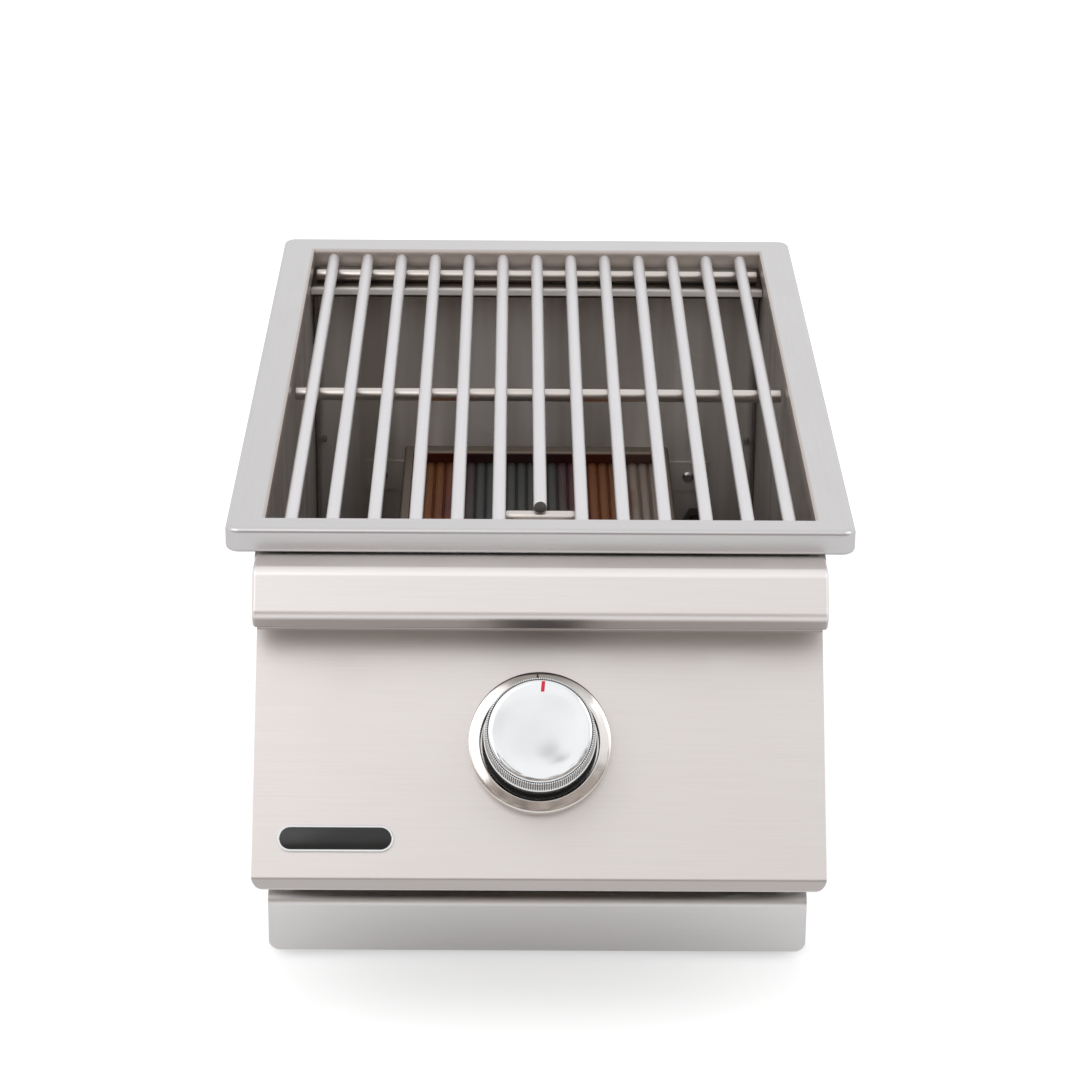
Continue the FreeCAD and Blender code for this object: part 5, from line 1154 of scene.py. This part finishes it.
# Bead row: fine round beads pressed into the edge of the cap's face and chromed with it. Each copy
# in a row round the knob is turned outwards, and can lean with its side.
ring_tree, given = new_tree("row_round_the_knob", {
    "Shape": "NodeSocketObject",
    "Count": "NodeSocketInt",
    "Radius": "NodeSocketFloat",
    "Height": "NodeSocketFloat",
    "Lean": "NodeSocketFloat",
})
circle = add_node(ring_tree, "GeometryNodeMeshCircle", {
    "Vertices": given["Count"],
    "Radius": given["Radius"],
})
lift = add_node(ring_tree, "ShaderNodeCombineXYZ", {2: given["Height"]})
lifted = add_node(ring_tree, "GeometryNodeSetPosition", {
    "Geometry": circle.outputs[0],
    "Offset": lift.outputs[0],
})
shape_in = add_node(ring_tree, "GeometryNodeObjectInfo", {"Object": given["Shape"]})
number = add_node(ring_tree, "GeometryNodeInputIndex")
step = add_node(ring_tree, "ShaderNodeMath", {0: 2 * pi, 1: given["Count"]}, operation="DIVIDE")
turn_by = add_node(ring_tree, "ShaderNodeMath", {
    0: number.outputs[0],
    1: step.outputs[0],
}, operation="MULTIPLY")
facing = add_node(ring_tree, "ShaderNodeCombineXYZ", {1: given["Lean"], 2: turn_by.outputs[0]})
copies = add_node(ring_tree, "GeometryNodeInstanceOnPoints", {
    "Points": lifted.outputs[0],
    "Instance": shape_in.outputs["Geometry"],
    "Rotation": facing.outputs[0],
})
end_tree(ring_tree, given, copies.outputs[0])

BEADS = 150
BEAD_RADIUS = 0.00054
BEAD_CIRCLE = 0.02968
BEAD_HEIGHT = 0.04010
form = bmesh.new()
bmesh.ops.create_uvsphere(form, u_segments=8, v_segments=5, radius=BEAD_RADIUS)
bead = finished_piece("bead", form, chrome, None, sharp=180)
from_tree("chrome_bead_row", ring_tree, {
    "Shape": bead,
    "Count": BEADS,
    "Radius": BEAD_CIRCLE,
    "Height": BEAD_HEIGHT,
    "Lean": 0.0,
}, chrome, "knob", on_dial)

# Milled side: straight ridges cut down the side of the cap, one below each bead, and chromed with
# it. Each ridge leans with the side and swells from its ends to the full outline.
RIDGE_LONG = 0.0116
RIDGE_LEAN = -atan2(0.9, 12.1)
RIDGE_CIRCLE = 0.03050
RIDGE_HEIGHT = 0.03285
RIDGE_SWELL = ((-0.5, 0.25), (-0.46, 1.0), (0.46, 1.0), (0.5, 0.25))
RIDGE_OUTLINE = (
    (-0.0004, -0.00040),
    (0.00018, -0.00032),
    (0.00036, 0.0),
    (0.00018, 0.00032),
    (-0.0004, 0.00040),
)
form = bmesh.new()
rows = []
for height, swell in RIDGE_SWELL:
    z = height * RIDGE_LONG
    rows.append([form.verts.new((x * swell, y * swell, z)) for x, y in RIDGE_OUTLINE])
ridge = finished_piece("ridge", skin_over(form, rows), chrome, None, sharp=50)
from_tree("chrome_milled_side", ring_tree, {
    "Shape": ridge,
    "Count": BEADS,
    "Radius": RIDGE_CIRCLE,
    "Height": RIDGE_HEIGHT,
    "Lean": RIDGE_LEAN,
}, chrome, "knob", on_dial)

# Index mark: a short bar of red enamel laid in the face of the knob, near its edge. Enamel is
# smooth and glossy.
red_enamel = moulded("red_enamel", "c8102e", "d41a38", 0.3, 0.6)
INDEX_INNER_END = (22.0, 0.25, 2.25)
INDEX_OUTER_END = (28.1, 0.75, 2.75)
index_mark = inlay(INDEX_INNER_END, INDEX_OUTER_END, CAP_FACE)
finished_piece("red_index_mark", index_mark, red_enamel, "knob", on_dial)

# Badge plate: a bare stamped plate with round ends, riveted low on the left of the panel. Black
# enamel in a field with a raised chromed rim.
BADGE_PLACE = (-0.1139, -0.0538, 0.0)
BADGE_HALF_LONG = 0.0325
BADGE_HALF_TALL = 0.0074
BADGE_STEPS = 16
BADGE_RIM = (
    (0.0, 0.0), (0.0, 0.0013), (0.0003, 0.0016),
    (0.0009, 0.0016), (0.0012, 0.0013), (0.0012, 0.0008),
)
BADGE_FIELD = ((0.00118, 0.0005), (0.00118, 0.00095), (0.0014, 0.00105))


def stadium(inset):
    """The badge's outline with round ends, a distance in from its edge."""
    spots = []
    r = BADGE_HALF_TALL - inset
    for side in (1, -1):
        for i in range(BADGE_STEPS + 1):
            turn_to = -pi / 2 + pi * i / BADGE_STEPS + (0 if side > 0 else pi)
            x = side * (BADGE_HALF_LONG - BADGE_HALF_TALL) + r * cos(turn_to)
            spots.append((x, r * sin(turn_to)))
    return spots


def lofted(rings):
    """A closed form through outlines, each a distance in and a height, in metres."""
    form = bmesh.new()
    rows = [[form.verts.new((x, y, z)) for x, y in stadium(inset)] for inset, z in rings]
    return skin_over(form, rows)


badge_place = on_dial @ Matrix.Translation(BADGE_PLACE)
badge_rim = lofted(BADGE_RIM)
finished_piece("badge_rim", badge_rim, chrome, "box", badge_place)
badge_black = moulded("black_enamel", "161616", "202020", 0.25, 1.2)
badge_field = lofted(BADGE_FIELD)
finished_piece("badge_field", badge_field, badge_black, "box", badge_place)

# Drip tray: a pressed tub and a folded front of brushed stainless, which rides out with it. The tub
# is painted dark all over as painted shade, with patches of fat stain, and the front's folded top
# edge is painted darker as the shadow of the panel.
tray_steel, tree = new_material("shaded_fat_stained_tray")
# painted shade: the tub's own tone is dark, and the noise adds patches of fat stain
tone, steel = finish_steel(tree, belt_lines(tree, "y"), linear("8f8a84"), linear("a19c96"), 0.34, 0.00002)
where = add_node(tree, "ShaderNodeTexCoord")
spill = add_node(tree, "ShaderNodeTexNoise", {
    "Vector": where.outputs["Object"],
    "Scale": 22.0,
    "Detail": 6.0,
})
stain = add_node(tree, "ShaderNodeMapRange", {0: spill.outputs[0], 1: 0.52, 2: 0.72, 3: 0.0, 4: 0.6})
stain_and_shade = add_node(tree, "ShaderNodeMix", {
    0: stain.outputs[0],
    6: tone.outputs[2],
    7: linear("5f4630"),
}, data_type="RGBA")
tree.links.new(stain_and_shade.outputs[2], steel.inputs["Base Color"])
dress(tray_steel, "tray_pan")
front_steel, tree = new_material("brushed_stainless_tray_front")
lines = belt_lines(tree, "x")
tone, steel = finish_steel(tree, lines, linear("eeecec"), linear("f3f1f1"), 0.36, 0.00003)
# painted shadow: faces of the front that look upwards, its folded top edge under the panel, are painted
# darker
paint_shade_facing(tree, tone, steel, 2, 0.3, 0.8, "a8a3a0")
dress(front_steel, "tray_front")
